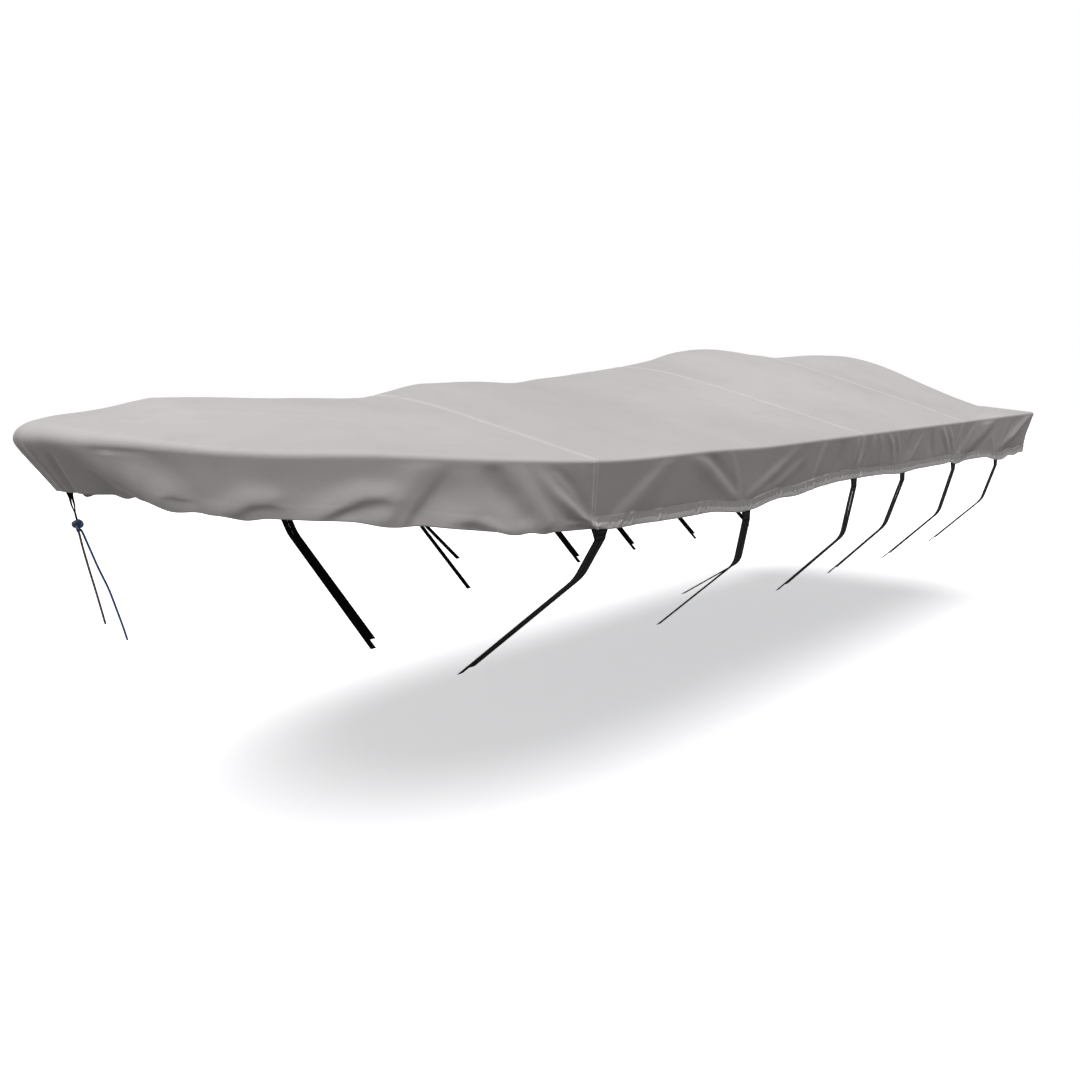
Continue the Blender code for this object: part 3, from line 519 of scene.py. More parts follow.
# ------------------------------------------------------------ camera and stage
LENS = 30.0
SENSOR = 36.0
CLIP_END = 200.0
CAMERA_PLACE = (-3.265, -2.64, 0.21)
CAMERA_PITCH = math.radians(7.1)
CAMERA_YAW = math.radians(44.5)
CAMERA_TILT = math.radians(2.96)
FLOOR_Z = -1.11
FLOOR_SIZE = 60.0
FLOOR_BOUNCE = 0.15
FLOOR_GLOW = 0.56          # soft light that the paper gives from below
FLOOR_GLOW_TONE = (0.97, 0.98, 1.0)
FLOOR_WARMTH = (1.0, 0.96, 0.92)
# name, heading it comes from, height above the horizon, strength, softness, colour
SOFT_LIGHTS = (
    ("overhead_light", math.radians(207), math.radians(75), 3.4, math.radians(60),
     (0.992, 0.985, 1.006)),
    ("bow_light", math.radians(190), math.radians(38), 0.27, math.radians(60),
     (1.0, 0.985, 0.97)),
)
SKY_COLOUR = (1.0, 0.968, 0.938)
SKY_STRENGTH = 0.146
BACKDROP_COLOUR = (1.0, 1.0, 1.0)
BACKDROP_STRENGTH = 1.0
LIGHT_DISTANCE = 8.0


# ------------------------------------------------------------ settings
class BoatCoverSizes(bpy.types.PropertyGroup):
    """Sizes of the cover's cloth, stitching, webbing and cords."""

    section_step: FloatProperty(
        name="Section step", description="Distance between the cloth's sections",
        default=0.006, min=0.004, max=0.05, unit="LENGTH")
    casing: FloatProperty(
        name="Hem casing", description="Depth of the gathered casing at the hem",
        default=0.040, min=0.01, max=0.09, unit="LENGTH")
    seam_width: FloatProperty(
        name="Seam width", description="Width of the felled seams between panels",
        default=0.018, min=0.006, max=0.03, unit="LENGTH")
    stitch_pitch: FloatProperty(
        name="Stitch pitch", description="Distance from one stitch to the next",
        default=0.0065, min=0.003, max=0.03, unit="LENGTH")
    stitch_length: FloatProperty(
        name="Stitch length", description="Length of thread that shows at each stitch",
        default=0.0054, min=0.001, max=0.02, unit="LENGTH")
    webbing_width: FloatProperty(
        name="Webbing width", description="Width of the tie-down webbing",
        default=0.0256, min=0.01, max=0.05, unit="LENGTH")
    webbing_thickness: FloatProperty(
        name="Webbing thickness", description="Thickness of the tie-down webbing",
        default=0.0016, min=0.0008, max=0.004, unit="LENGTH")
    loop_thickness: FloatProperty(
        name="Loop thickness", description="Thickness of the doubled webbing at the hem",
        default=0.003, min=0.001, max=0.006, unit="LENGTH")
    cord_diameter: FloatProperty(
        name="Cord diameter", description="Diameter of both cords at the bow",
        default=0.006, min=0.003, max=0.012, unit="LENGTH")


class BoatCoverColours(bpy.types.PropertyGroup):
    """Colours of the cover's cloth, thread, webbing and cords."""

    cloth: FloatVectorProperty(
        name="Cloth", description="Main colour of the polyester cloth",
        default=(0.470, 0.452, 0.444), min=0.0, max=1.0, subtype="COLOR")
    # this paler colour is also the painted highlight on the seams and the casing
    cloth_faded_and_highlit: FloatVectorProperty(
        name="Faded cloth", description="Colour of the cloth where the sun has faded it",
        default=(0.570, 0.548, 0.545), min=0.0, max=1.0, subtype="COLOR")
    # this darker colour is also the painted shade between the weave's yarns
    cloth_soiled_and_shaded: FloatVectorProperty(
        name="Soiled cloth", description="Colour of the cloth where dust has settled in it",
        default=(0.385, 0.368, 0.355), min=0.0, max=1.0, subtype="COLOR")
    thread: FloatVectorProperty(
        name="Thread", description="Colour of the topstitching",
        default=(0.86, 0.845, 0.83), min=0.0, max=1.0, subtype="COLOR")
    webbing: FloatVectorProperty(
        name="Webbing", description="Colour of the webbing",
        default=(0.003, 0.003, 0.0035), min=0.0, max=1.0, subtype="COLOR")
    webbing_worn: FloatVectorProperty(
        name="Worn webbing", description="Colour of the webbing's raised and rubbed yarns",
        default=(0.010, 0.010, 0.011), min=0.0, max=1.0, subtype="COLOR")
    blue_yarn: FloatVectorProperty(
        name="Blue yarn", description="Colour of the blue cord",
        default=(0.045, 0.150, 0.420), min=0.0, max=1.0, subtype="COLOR")
    black_yarn: FloatVectorProperty(
        name="Black yarn", description="Ground colour of the flecked cord",
        default=(0.020, 0.020, 0.023), min=0.0, max=1.0, subtype="COLOR")
    fleck: FloatVectorProperty(
        name="Fleck", description="Colour of the flecks in the flecked cord",
        default=(0.62, 0.60, 0.57), min=0.0, max=1.0, subtype="COLOR")
    floor: FloatVectorProperty(
        name="Floor", description="Colour of the studio floor",
        default=(0.86, 0.86, 0.86), min=0.0, max=1.0, subtype="COLOR")


# ------------------------------------------------------------ curves and swells
def smooth_curve(rows, column):
    """Monotone curve through one column of a table, by its first column."""
    xs = np.array([row[0] for row in rows])
    ys = np.array([row[column] for row in rows])
    steps = np.diff(xs)
    slopes = np.diff(ys) / steps
    product = slopes[:-1] * slopes[1:]
    rising = product > 0.0
    total = np.where(rising, slopes[:-1] + slopes[1:], 1.0)
    inner = np.where(rising, 2.0 * product / total, 0.0)
    tangents = np.concatenate([slopes[:1], inner, slopes[-1:]])

    def value(x):
        place = np.clip(x, xs[0], xs[-1])
        i = np.clip(np.searchsorted(xs, place, side="right") - 1, 0, len(steps) - 1)
        t = (place - xs[i]) / steps[i]
        start = ys[i] * (1 + 2 * t) * (1 - t) ** 2 + tangents[i] * steps[i] * t * (1 - t) ** 2
        finish = ys[i + 1] * t * t * (3 - 2 * t) + tangents[i + 1] * steps[i] * t * t * (t - 1)
        return start + finish

    return value


def ease(value):
    """0 below 0, 1 above 1 and a smooth rise between them."""
    share = np.clip(value, 0.0, 1.0)
    return share * share * (3.0 - 2.0 * share)


def swell(distance, half_width):
    """A smooth swell, 1 in the middle and 0 at its edges."""
    share = np.clip(np.abs(distance) / half_width, 0.0, 1.0)
    return 0.5 + 0.5 * np.cos(np.pi * share)


def unit(vectors):
    return vectors / np.linalg.norm(vectors, axis=-1, keepdims=True)


# ------------------------------------------------------------ the cover's lines
crest_y = smooth_curve(CREST, 1)
crest_z = smooth_curve(CREST, 2)
margin_width = smooth_curve(MARGIN, 1)
hem_base = smooth_curve(HEM, 1)
edge_radius = smooth_curve(EDGE_RADII, 1)
lean = smooth_curve(LEAN, 1)


def half_beam(x):
    t = np.clip((x - BOW_TIP) / BOW_RUN, 0.0, 1.0)
    return HALF_BEAM * (1.0 - (1.0 - t) ** BOW_FULLNESS) ** BOW_ROUNDNESS


def gunwale_z(x):
    run = SHEER_START - BOW_TIP
    sheer = SHEER_RISE * (np.maximum(SHEER_START - x, 0.0) / run) ** SHEER_POWER
    return sheer + sum(height * swell(x - centre, width) for centre, width, height in SHEER_WAVES)


def roof(rise):
    """Height of the taut top from the gunwale (0) to the crest (1)."""
    return rise * (1.0 + ROOF_SWELL * (1.0 - rise ** ROOF_POWER))


def top_z(x, across):
    """Height of the top at section x; across runs from -1 at port to 1."""
    beam = half_beam(x)
    middle = crest_y(x) / beam * np.minimum(1.0, beam / CREST_WIDE_FROM)
    port = across < middle
    span = np.where(port, 1.0 + middle, 1.0 - middle)
    inward = np.where(port, 1.0 + across, 1.0 - across) / span
    width = margin_width(x)
    flat = width / (span * beam)
    base = gunwale_z(x) + np.minimum(inward * span * beam, width) * MARGIN_SLOPE
    past = np.maximum(inward - flat, 0.0) / (1.0 - flat)
    sag = MARGIN_SAG * width / MARGIN[-1][1]
    rise = crest_z(x) - gunwale_z(x) - width * MARGIN_SLOPE
    return base + rise * roof(past * (1.0 - sag * (1.0 - past)))


def hem_z(x):
    pulls = HEM_PULLS + HEM_RIPPLES
    return hem_base(x) - sum(depth * swell(x - centre, width) for centre, width, depth in pulls)


def rake(x):
    share = np.maximum(1.0 - (STERN - x) / STERN_RAKE_RUN, 0.0)
    return STERN_RAKE * share * share


def plan_lengths(x):
    """Lengths along the gunwale from the first of the sections x."""
    return np.concatenate([[0.0], np.cumsum(np.hypot(np.diff(x), np.diff(half_beam(x))))])


def edge_line(x, side):
    """Points along the gunwale at sections x."""
    return np.stack([x, side * half_beam(x), gunwale_z(x)], axis=-1)


def outward(x, side):
    """Plan direction square to the gunwale at section x."""
    before = np.maximum(x - SLOPE_STEP, BOW_TIP + SLOPE_STEP / 4)
    slope = (half_beam(x + SLOPE_STEP) - half_beam(before)) / (2 * SLOPE_STEP)
    return unit(np.stack([-slope, np.full_like(x, side), np.zeros_like(x)], axis=-1))


def gunwale_run(x):
    """Length along the gunwale from the first seam to x, negative toward the bow."""
    stations = np.linspace(BOW_TIP + NOSE_START / 2, STERN, RUN_STEPS)
    length = plan_lengths(stations)
    return np.interp(x, stations, length) - np.interp(SEAMS[0], stations, length)


def laid_along(creases):
    """Creases with their places along X turned into lengths along the gunwale."""
    return [[(float(gunwale_run(row[0])), *row[1:]) for row in crease] for crease in creases]


def crease_height(along, down, drop, creases):
    """How far the skirt stands out at a place and a share of its drop."""
    along, down = np.broadcast_arrays(along, down)
    fall = down * drop
    total = np.zeros(along.shape)
    for crease in creases:
        best = np.full(along.shape, np.inf)
        height = np.zeros(along.shape)
        for start, end in zip(crease, crease[1:]):
            run_x = end[0] - start[0]
            run_z = (end[1] - start[1]) * DROP
            away_x = along - start[0]
            away_z = fall - start[1] * DROP
            share = (away_x * run_x + away_z * run_z) / (run_x ** 2 + run_z ** 2)
            share = np.clip(share, 0.0, 1.0)
            above = (away_x * run_z - away_z * run_x) * math.copysign(1.0, run_x) > 0.0
            gap = np.hypot(away_x - run_x * share, away_z - run_z * share)
            form = [start[i] + (end[i] - start[i]) * share for i in (2, 3, 4)]
            reach = gap / np.where(above, form[0], form[1])
            nearer = reach < best
            best = np.where(nearer, reach, best)
            height = np.where(nearer, form[2] * swell(reach, 1.0), height)
        total += height
    return total


# ------------------------------------------------------------ the cloth's grid
def section_places(step):
    """Sections along X, evenly spaced along the gunwale and closer at the seams."""
    places = []
    for start, end in zip((BOW_TIP + NOSE_START,) + SEAMS, SEAMS + (STERN,)):
        fine = np.linspace(start, end, PANEL_STEPS)
        length = plan_lengths(fine)
        count = int(length[-1] / step)
        places.append(np.interp(np.linspace(0.0, length[-1], count + 1), length, fine))
    spread = [seam + side * gap for seam in SEAMS for side in (-1, 1) for gap in SEAM_SPREAD]
    merged = np.concatenate(places + [np.array(spread)])
    near = np.min(np.abs(merged[:, None] - np.array(SEAMS)[None, :]), axis=1)
    clear = near > SEAM_SPREAD[-1] + SEAM_CLEAR
    return np.unique(np.round(merged[clear | np.isin(merged, spread) | (near < SAME_PLACE)], 6))


def blurred(field, passes):
    """A grid of heights with its kinks smoothed away."""
    for _ in range(passes):
        wide = np.pad(field, 1, mode="edge")
        beside = wide[:-2, 1:-1] + wide[2:, 1:-1] + wide[1:-1, :-2] + wide[1:-1, 2:]
        field = field / 2.0 + beside / 8.0
    return field


class Skirt:
    """Rows down a skirt: the fold over the edge, the drop, the casing and its back."""

    def __init__(self, drop, casing):
        share = casing / drop
        upper = np.arange(1, SKIRT_ROWS + 1) / SKIRT_ROWS
        lower = np.arange(1, CASING_ROWS + 1) / CASING_ROWS
        back = np.array(INNER_ROWS)
        self.turns = np.arange(1, ARC_ROWS + 1) / ARC_ROWS
        outer = [upper * (1.0 - share), (1.0 - share) + share * lower]
        inner = 1.0 - share * back
        self.down = np.concatenate(outer + [inner], axis=-1)
        depth = np.concatenate([upper * 0.0, lower, np.ones(len(back))])
        self.depth = np.broadcast_to(depth, self.down.shape)
        behind = np.concatenate([upper * 0.0, lower * 0.0, np.ones(len(back))])
        self.behind = np.broadcast_to(behind, self.down.shape)


def skirt_columns(edge, out, lower, inset, along, creases, radius, casing, station):
    """Columns of points from the top's edge, round the fold and down to the hem."""
    drop = edge[:, 2] - radius - lower
    rows = Skirt(drop[:, None], casing)
    angle = rows.turns[None, :] * math.pi / 2
    inner = radius[:, None] * (1.0 - np.sin(angle))
    fall = radius[:, None] * (1.0 - np.cos(angle))
    arc = edge[:, None, :] - out[:, None, :] * inner[:, :, None]
    arc[:, :, 2] -= fall
    stand = blurred(crease_height(along[:, None], rows.down, drop[:, None], creases), BLUR_PASSES)
    stand *= ease(rows.down * drop[:, None] / CREASE_FADE)
    stand *= ease((along[:, None] - gunwale_run(BOW_TIP + NOSE_START)) / NOSE_PLAIN)
    stand -= inset[:, None] * rows.down
    stand += casing_form(along[:, None], station[:, None], rows)
    skirt = edge[:, None, :] + out[:, None, :] * stand[:, :, None]
    top = edge[:, 2] - radius
    skirt[:, :, 2] = top[:, None] - drop[:, None] * rows.down
    return np.concatenate([arc, skirt], axis=1), rows


def casing_form(along, station, rows):
    """The gathered casing: it swells below its stitching and is turned under."""
    sewn = PLAIN_HEM + (1.0 - PLAIN_HEM) * stitched_hem(station)
    face = sewn * CASING_SWELL * np.sin(np.pi * np.clip(rows.depth, 0.0, 1.0)) ** CASING_ROUNDNESS
    face += sewn * CASING_FLARE * rows.depth
    face -= stitched_hem(station) * CASING_GROOVE * swell(rows.depth - GROOVE_PLACE, GROOVE_REACH)
    calm = 1.0 - CORNER_CALM * swell(station - CORNER_PLACE, CORNER_REACH)
    gather = sewn * calm * casing_gathers(along, rows.depth)
    return np.where(rows.depth > 0.0, face + gather, 0.0) - CASING_BACK * rows.behind


@functools.lru_cache(maxsize=1)
def puckers():
    """Place, slant, half width and height of each pucker, with a fixed seed."""
    dice = np.random.default_rng(PUCKER_SEED)
    count = int(PUCKER_RUN / PUCKER_PITCH)
    spans = (PUCKER_GAPS, PUCKER_SLANTS, PUCKER_WIDTHS, PUCKER_HEIGHTS)
    gaps, slants, widths, heights = [dice.uniform(*span, count) for span in spans]
    return list(zip(np.cumsum(gaps) * PUCKER_PITCH, slants, widths, heights))


def casing_gathers(along, depth):
    """Short slanting puckers that the elastic draws into the casing."""
    total = np.zeros(np.broadcast(along, depth).shape)
    for place, slant, width, height in puckers():
        total += height * swell(along - place + slant * depth, width)
    turn = np.pi * np.clip(depth, 0.0, 1.0) * PUCKER_FALL + PUCKER_START
    return PUCKER_DEPTH * total * np.sin(turn)


def top_rows(x):
    """Rows of points across the top between the two folded edges."""
    share = np.arange(TOP_COLUMNS + 1) / TOP_COLUMNS
    even = 2.0 * share - 1.0
    across = even + (-np.cos(np.pi * share) - even) * EDGE_CROWDING
    ends = [edge_line(x, side) - outward(x, side) * edge_radius(x)[:, None] for side in (-1, 1)]
    blend = (across[None, :, None] + 1.0) / 2.0
    rows = ends[0][:, None, :] * (1.0 - blend) + ends[1][:, None, :] * blend
    rows[:, :, 2] = top_z(x[:, None], across[None, :])
    return rows


def side_columns(x, side, casing):
    """The skirt of one side, which the stern flap pulls forward."""
    creases = laid_along(PORT_CREASES if side < 0 else STARBOARD_CREASES)
    centre, width, lift, inward = STARBOARD_LIFT
    drawn = swell(x - centre, width) * (side > 0)
    columns, rows = skirt_columns(
        edge_line(x, side), outward(x, side), hem_z(x) + lift * drawn, lean(x) + inward * drawn,
        gunwale_run(x), creases, edge_radius(x), casing, x)
    columns[:, ARC_ROWS:, 0] -= rake(x)[:, None] * rows.down
    return columns, rows


def end_columns(ring, bow, casing):
    """The skirt across the bow's front or the stern, down to the hem."""
    count = ARC_ROWS + SKIRT_ROWS + CASING_ROWS + len(INNER_ROWS)
    top = ring[count:-count][1:-1]
    places = top[:, 1]
    station = np.full(len(top), BOW_TIP if bow else STERN)
    x = BOW_TIP if bow else STERN + EDGE_RADIUS
    edge = np.stack([np.full(len(top), x), places, top[:, 2]], axis=-1)
    out = np.tile(np.array([1.0, 0.0, 0.0]), (len(top), 1))
    if bow:
        corner = outward(np.array([BOW_TIP + NOSE_START]), 1)[0]
        reach = float(half_beam(BOW_TIP + NOSE_START))
        fan = [np.full(len(top), corner[0]), corner[1] * places / reach, np.zeros(len(top))]
        out = unit(np.stack(fan, axis=-1))
    inset = np.full(len(top), BOW_LEAN if bow else STERN_RAKE)
    radius = np.full(len(top), BOW_RADIUS if bow else EDGE_RADIUS)
    creases = () if bow else STERN_CREASES
    return skirt_columns(edge, out, hem_z(station), inset, places, creases, radius, casing, station)[0]


def segment_swell(points, crease):
    """A soft crease along a straight line of the top, fading at both ends."""
    fore_x, fore_y, aft_x, aft_y, half_width, height = crease
    run = np.array([aft_x - fore_x, aft_y - fore_y])
    away = points[..., :2] - np.array([fore_x, fore_y])
    share = (away @ run) / (run @ run)
    beside = np.abs(away[..., 0] * run[1] - away[..., 1] * run[0]) / np.linalg.norm(run)
    ends = ease(share / CREASE_END + CREASE_LEAD) * ease((1.0 - share) / CREASE_END + CREASE_LEAD)
    return height * ends * swell(beside, half_width)


def loose_waves(points):
    """Faint slack in taut cloth: a few crossing waves with a fixed seed."""
    dice = np.random.default_rng(SLACK_SEED)
    total = np.zeros(points.shape[:-1])
    for _ in range(SLACK_WAVES):
        heading = dice.uniform(0.0, math.pi)
        wave = dice.uniform(SLACK_SHORTEST, SLACK_LONGEST)
        phase = dice.uniform(0.0, 2 * math.pi)
        along = points[..., 0] * math.cos(heading) + points[..., 1] * math.sin(heading)
        total += np.sin(along * 2 * math.pi / wave + phase) * wave / SLACK_LONGEST
    return SLACK_HEIGHT * total / math.sqrt(SLACK_WAVES)


def seam_band(station, seam, width):
    """1 on the doubled cloth of a seam and 0 beside it."""
    return ease((width / 2 - np.abs(station - seam)) / SEAM_EDGE + 0.5)


def seam_relief(station, run, width):
    """The felled seams: a raised band that puckers along its stitching."""
    waver = SEAM_WAVER * np.sin(run * SEAM_WAVER_RATE)
    pucker = np.sin(run * 2 * math.pi / SEAM_PUCKER_PITCH + waver)
    total = np.zeros(station.shape)
    for seam in SEAMS:
        drawn = SEAM_PUCKER * swell(station - seam, SEAM_PUCKER_REACH)
        total += SEAM_BAND * seam_band(station, seam, width) + drawn * pucker
    return total


def stitched_hem(x):
    """1 where the hem has its stitched casing and 0 where it is only turned under."""
    return ease((x - SEAMS[0]) / CASING_FADE + 0.5)


def row_lengths(points):
    """Lengths along each row of a grid, from its first point."""
    run = np.linalg.norm(np.diff(points, axis=1), axis=-1)
    return np.concatenate([np.zeros((len(points), 1)), np.cumsum(run, axis=1)], axis=1)


def end_index(first, shape, ring, skirt):
    """Point numbers of the skirt across one end, with the points that it shares."""
    fresh = np.arange(first, first + shape[0] * shape[1]).reshape(shape[:2])
    sides = np.concatenate([ring[:skirt][::-1][None], fresh, ring[-skirt:][None]])
    return np.concatenate([ring[skirt:-skirt][:, None], sides], axis=1)


def line_lengths(line):
    """Lengths along a line of points, from its first point."""
    return row_lengths(line[None])[0]


def read_off(places, run, rows):
    """Rows of three values read off at places along a run."""
    return np.stack([np.interp(places, run, rows[:, i]) for i in range(3)], axis=-1)


class Cloth:
    """The whole cover's surface: its points, grids of point numbers and the mask of its painted
    highlight.
    """

    def __init__(self, step, casing, seam_width):
        self.x = section_places(step)
        port, rows = side_columns(self.x, -1, casing)
        starboard, _ = side_columns(self.x, 1, casing)
        self.skirt = port.shape[1]
        points = np.concatenate([port[:, ::-1], top_rows(self.x), starboard], axis=1)
        bow = end_columns(points[0], True, casing)
        stern = end_columns(points[-1], False, casing)
        size = points.shape[0] * points.shape[1]
        self.main = np.arange(size).reshape(points.shape[:2])
        self.bow = end_index(size, bow.shape, self.main[0], self.skirt)
        stern_start = size + bow.shape[0] * bow.shape[1]
        self.stern = end_index(stern_start, stern.shape, self.main[-1], self.skirt)
        self.points = np.concatenate([part.reshape(-1, 3) for part in (points, bow, stern)])
        self.flat = self.flat_lengths(points)
        self.soften(points)
        self.normals = self.surface_normals()
        self.trim_highlight = np.zeros(len(self.points))
        self.set_trim_highlight(rows, seam_width)
        self.add_relief(seam_width)

    def flat_lengths(self, points):
        """Lengths along the gunwale and across the cover, from its middle."""
        run = row_lengths(points)
        along = np.broadcast_to(plan_lengths(self.x)[:, None], run.shape)
        return np.stack([along, run - run[:, run.shape[1] // 2][:, None]], axis=-1)

    def faces(self):
        grids = ((self.main, FACE), (self.bow, FACE), (self.stern, FACE[::-1]))
        return [quads(index, order)[0] for index, order in grids]

    def soften(self, points):
        """Rounds the fold over the gunwale, most of all at the bow."""
        weights = np.zeros(len(self.points))
        weights[self.main] = self.fold_weights(points)
        column = np.zeros(self.bow.shape[1])
        column[:ARC_ROWS + SOFT_ROWS + 1] = 1.0
        weights[self.bow] = np.maximum(weights[self.bow], column[None, :])
        mesh = bpy.data.meshes.new("cover_form")
        mesh.from_pydata(self.points.tolist(), [], np.concatenate(self.faces()).tolist())
        form = bpy.data.objects.new("cover_form", mesh)
        bpy.context.scene.collection.objects.link(form)
        group = form.vertex_groups.new(name="edge")
        levels = np.round(weights * SOFT_LEVELS).astype(int)
        for level in range(1, SOFT_LEVELS + 1):
            group.add(np.flatnonzero(levels == level).tolist(), level / SOFT_LEVELS, "REPLACE")
        smooth = form.modifiers.new("Edge", "SMOOTH")
        smooth.factor = SOFT_FACTOR
        smooth.iterations = SOFT_PASSES
        smooth.vertex_group = "edge"
        bpy.ops.object.select_all(action="DESELECT")
        bpy.context.view_layer.objects.active = form
        bpy.ops.object.modifier_apply(modifier="Edge")
        flat = np.zeros(len(self.points) * 3)
        form.data.vertices.foreach_get("co", flat)
        self.points = flat.reshape(-1, 3)
        bpy.data.objects.remove(form, do_unlink=True)

    def fold_weights(self, points):
        """How much each point beside the gunwale is smoothed, from 0 to 1."""
        run = row_lengths(points)
        edges = (run[:, self.skirt][:, None], run[:, -1 - self.skirt][:, None])
        away = np.minimum(np.abs(run - edges[0]), np.abs(run - edges[1]))
        share = ease((BOW_SOFT_END - self.x) / (BOW_SOFT_END - BOW_TIP))
        reach = (EDGE_SOFT + (BOW_SOFT - EDGE_SOFT) * share)[:, None]
        strength = (EDGE_SOFTNESS + (1.0 - EDGE_SOFTNESS) * share)[:, None]
        nose = ease(NOSE_SOFT_FROM - (self.x - BOW_TIP) / BOW_SOFT)[:, None]
        depth = np.zeros(points.shape[1])
        depth[self.skirt - ARC_ROWS - SOFT_ROWS:ARC_ROWS + SOFT_ROWS - self.skirt] = 1.0
        return np.maximum(strength * ease(EDGE_SOFT_FROM - away / reach), nose) * depth

    def surface_normals(self):
        """Normals of the whole surface, averaged over its faces."""
        total = np.zeros_like(self.points)
        for faces in self.faces():
            corners = self.points[faces]
            facing = np.cross(corners[:, 2] - corners[:, 0], corners[:, 3] - corners[:, 1])
            for axis in range(3):
                spread = np.repeat(facing[:, axis], 4)
                total[:, axis] += np.bincount(faces.ravel(), spread, len(total))
        return unit(total + TINY)

    def set_trim_highlight(self, rows, seam_width):
        """Marks the bands whose cloth is doubled, the casing and the seams, for a painted highlight that
        makes them paler.
        """
        hem = np.zeros(self.main.shape)
        band = (rows.depth > 0.0) * stitched_hem(self.x)[:, None]
        hem[:, self.skirt - ARC_ROWS - 1::-1] = band
        hem[:, ARC_ROWS - self.skirt:] = band
        for seam in SEAMS:
            hem = np.maximum(hem, SEAM_TRIM_HIGHLIGHT * seam_band(self.x, seam, seam_width)[:, None])
        self.trim_highlight[self.main] = hem
        self.trim_highlight[self.stern[1:-1, ARC_ROWS + SKIRT_ROWS:]] = 1.0

    def add_relief(self, seam_width):
        """Seams, slack and creases, laid on along the surface's normals."""
        station = np.broadcast_to(self.x[:, None], self.main.shape)
        relief = seam_relief(station, self.flat[..., 1], seam_width)
        inland = np.minimum(np.arange(self.main.shape[1]), np.arange(self.main.shape[1])[::-1])
        top = ease((inland - self.skirt) / SLACK_COLUMNS)
        points = self.points[self.main]
        slack = loose_waves(points)
        for crease in TOP_CREASES:
            slack += segment_swell(points, crease)
        ends = ease((self.x - self.x[0]) / BOW_RELIEF) * ease((self.x[-1] - self.x) / STERN_RELIEF)
        height = np.zeros(len(self.points))
        height[self.main] = (relief + slack * top[None, :]) * ends[:, None]
        fullness = NOSE_FULLNESS * ease((BOW_TIP + NOSE_RUN - self.points[:, 0]) / NOSE_RUN)
        self.points = self.points + self.normals * height[:, None]
        self.points[:, 0] -= fullness

    def line(self, index):
        """Points and normals along a row of point numbers."""
        return self.points[index], self.normals[index]


@functools.lru_cache(maxsize=2)
def built_cloth(step, casing, seam_width):
    return Cloth(step, casing, seam_width)


def shared_cloth(sizes):
    """The cover's surface, worked out once for all the pieces that lie on it."""
    return built_cloth(sizes.section_step, sizes.casing, sizes.seam_width)


# ------------------------------------------------------------ meshes
def add_piece(name, points, faces, loops, material, body="root"):
    """A new object at the origin with a flat map, riding on the cover."""
    mesh = bpy.data.meshes.new(name)
    mesh.from_pydata(points.tolist(), [], faces)
    layer = mesh.uv_layers.new(name="flat")
    layer.data.foreach_set("uv", np.asarray(loops, dtype=np.float32).ravel())
    mesh.materials.append(material)
    mesh.shade_smooth()
    mesh.update()
    piece = bpy.data.objects.new(name, mesh)
    bpy.context.scene.collection.objects.link(piece)
    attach(piece, body)
    return piece


def quads(index, order):
    """Faces over a grid of point numbers, and the grid places of their corners."""
    rows, columns = index.shape
    pick = [(slice(i, rows - 1 + i), slice(j, columns - 1 + j)) for i, j in order]
    return np.stack([index[part] for part in pick], axis=-1).reshape(-1, 4), pick


def corner_values(values, pick):
    return np.stack([values[part] for part in pick], axis=2).reshape(-1, 2)


def add_panel(cloth, number, name, material):
    """One panel of the cover, with the skirt across the bow or the stern."""
    marks = [0] + [int(np.argmin(np.abs(cloth.x - seam))) for seam in SEAMS] + [len(cloth.x) - 1]
    part = slice(marks[number], marks[number + 1] + 1)
    faces, pick = quads(cloth.main[part], FACE)
    loops = corner_values(cloth.flat[part], pick)
    ends = {0: (cloth.bow, FACE), len(SEAMS): (cloth.stern, FACE[::-1])}
    if number in ends:
        index, order = ends[number]
        corners = cloth.points[index]
        flat = np.stack([corners[..., 1], -row_lengths(corners)], axis=-1)
        more, pick = quads(index, order)
        faces = np.concatenate([faces, more])
        loops = np.concatenate([loops, corner_values(flat, pick)])
    used = np.unique(faces)
    place = np.zeros(len(cloth.points), dtype=int)
    place[used] = np.arange(len(used))
    panel = add_piece(name, cloth.points[used], place[faces].tolist(), loops, material)
    # the mask of the painted highlight on the seams and the casing
    mark = panel.data.attributes.new("trim_highlight", "FLOAT", "POINT")
    mark.data.foreach_set("value", cloth.trim_highlight[used].astype(np.float32))
    return panel


def add_stitches(name, rows, sizes, material):
    """Short beads of thread set along rows of points with their normals."""
    half_size = np.array([sizes.stitch_length / 2, THREAD_HALF_WIDTH, THREAD_HALF_HEIGHT])
    bead = np.array(BEAD) * half_size
    beads = []
    for line, normals in rows:
        run = line_lengths(line)
        places = np.arange(sizes.stitch_pitch / 2, run[-1], sizes.stitch_pitch)
        normal = unit(read_off(places, run, normals))
        ahead = read_off(places + STITCH_STEP, run, line)
        tangent = unit(ahead - read_off(places - STITCH_STEP, run, line))
        axes = np.stack([tangent, np.cross(normal, tangent), normal], axis=1)
        beads.append((read_off(places, run, line)[:, None, :] + bead[None] @ axes).reshape(-1, 3))
    points = np.concatenate(beads)
    first = np.arange(0, len(points), len(BEAD))
    faces = (first[:, None, None] + np.array(BEAD_FACES)[None]).reshape(-1, 3)
    return add_piece(name, points, faces.tolist(), np.zeros((faces.size, 2)), material)


def seam_rows(cloth):
    """Two rows of topstitching along each seam, from hem to hem."""
    back = len(INNER_ROWS)
    places = [seam + gap for seam in SEAMS for gap in (-SEAM_STITCH, SEAM_STITCH)]
    numbers = [int(np.argmin(np.abs(cloth.x - place))) for place in places]
    return [cloth.line(cloth.main[number, back:-back]) for number in numbers]


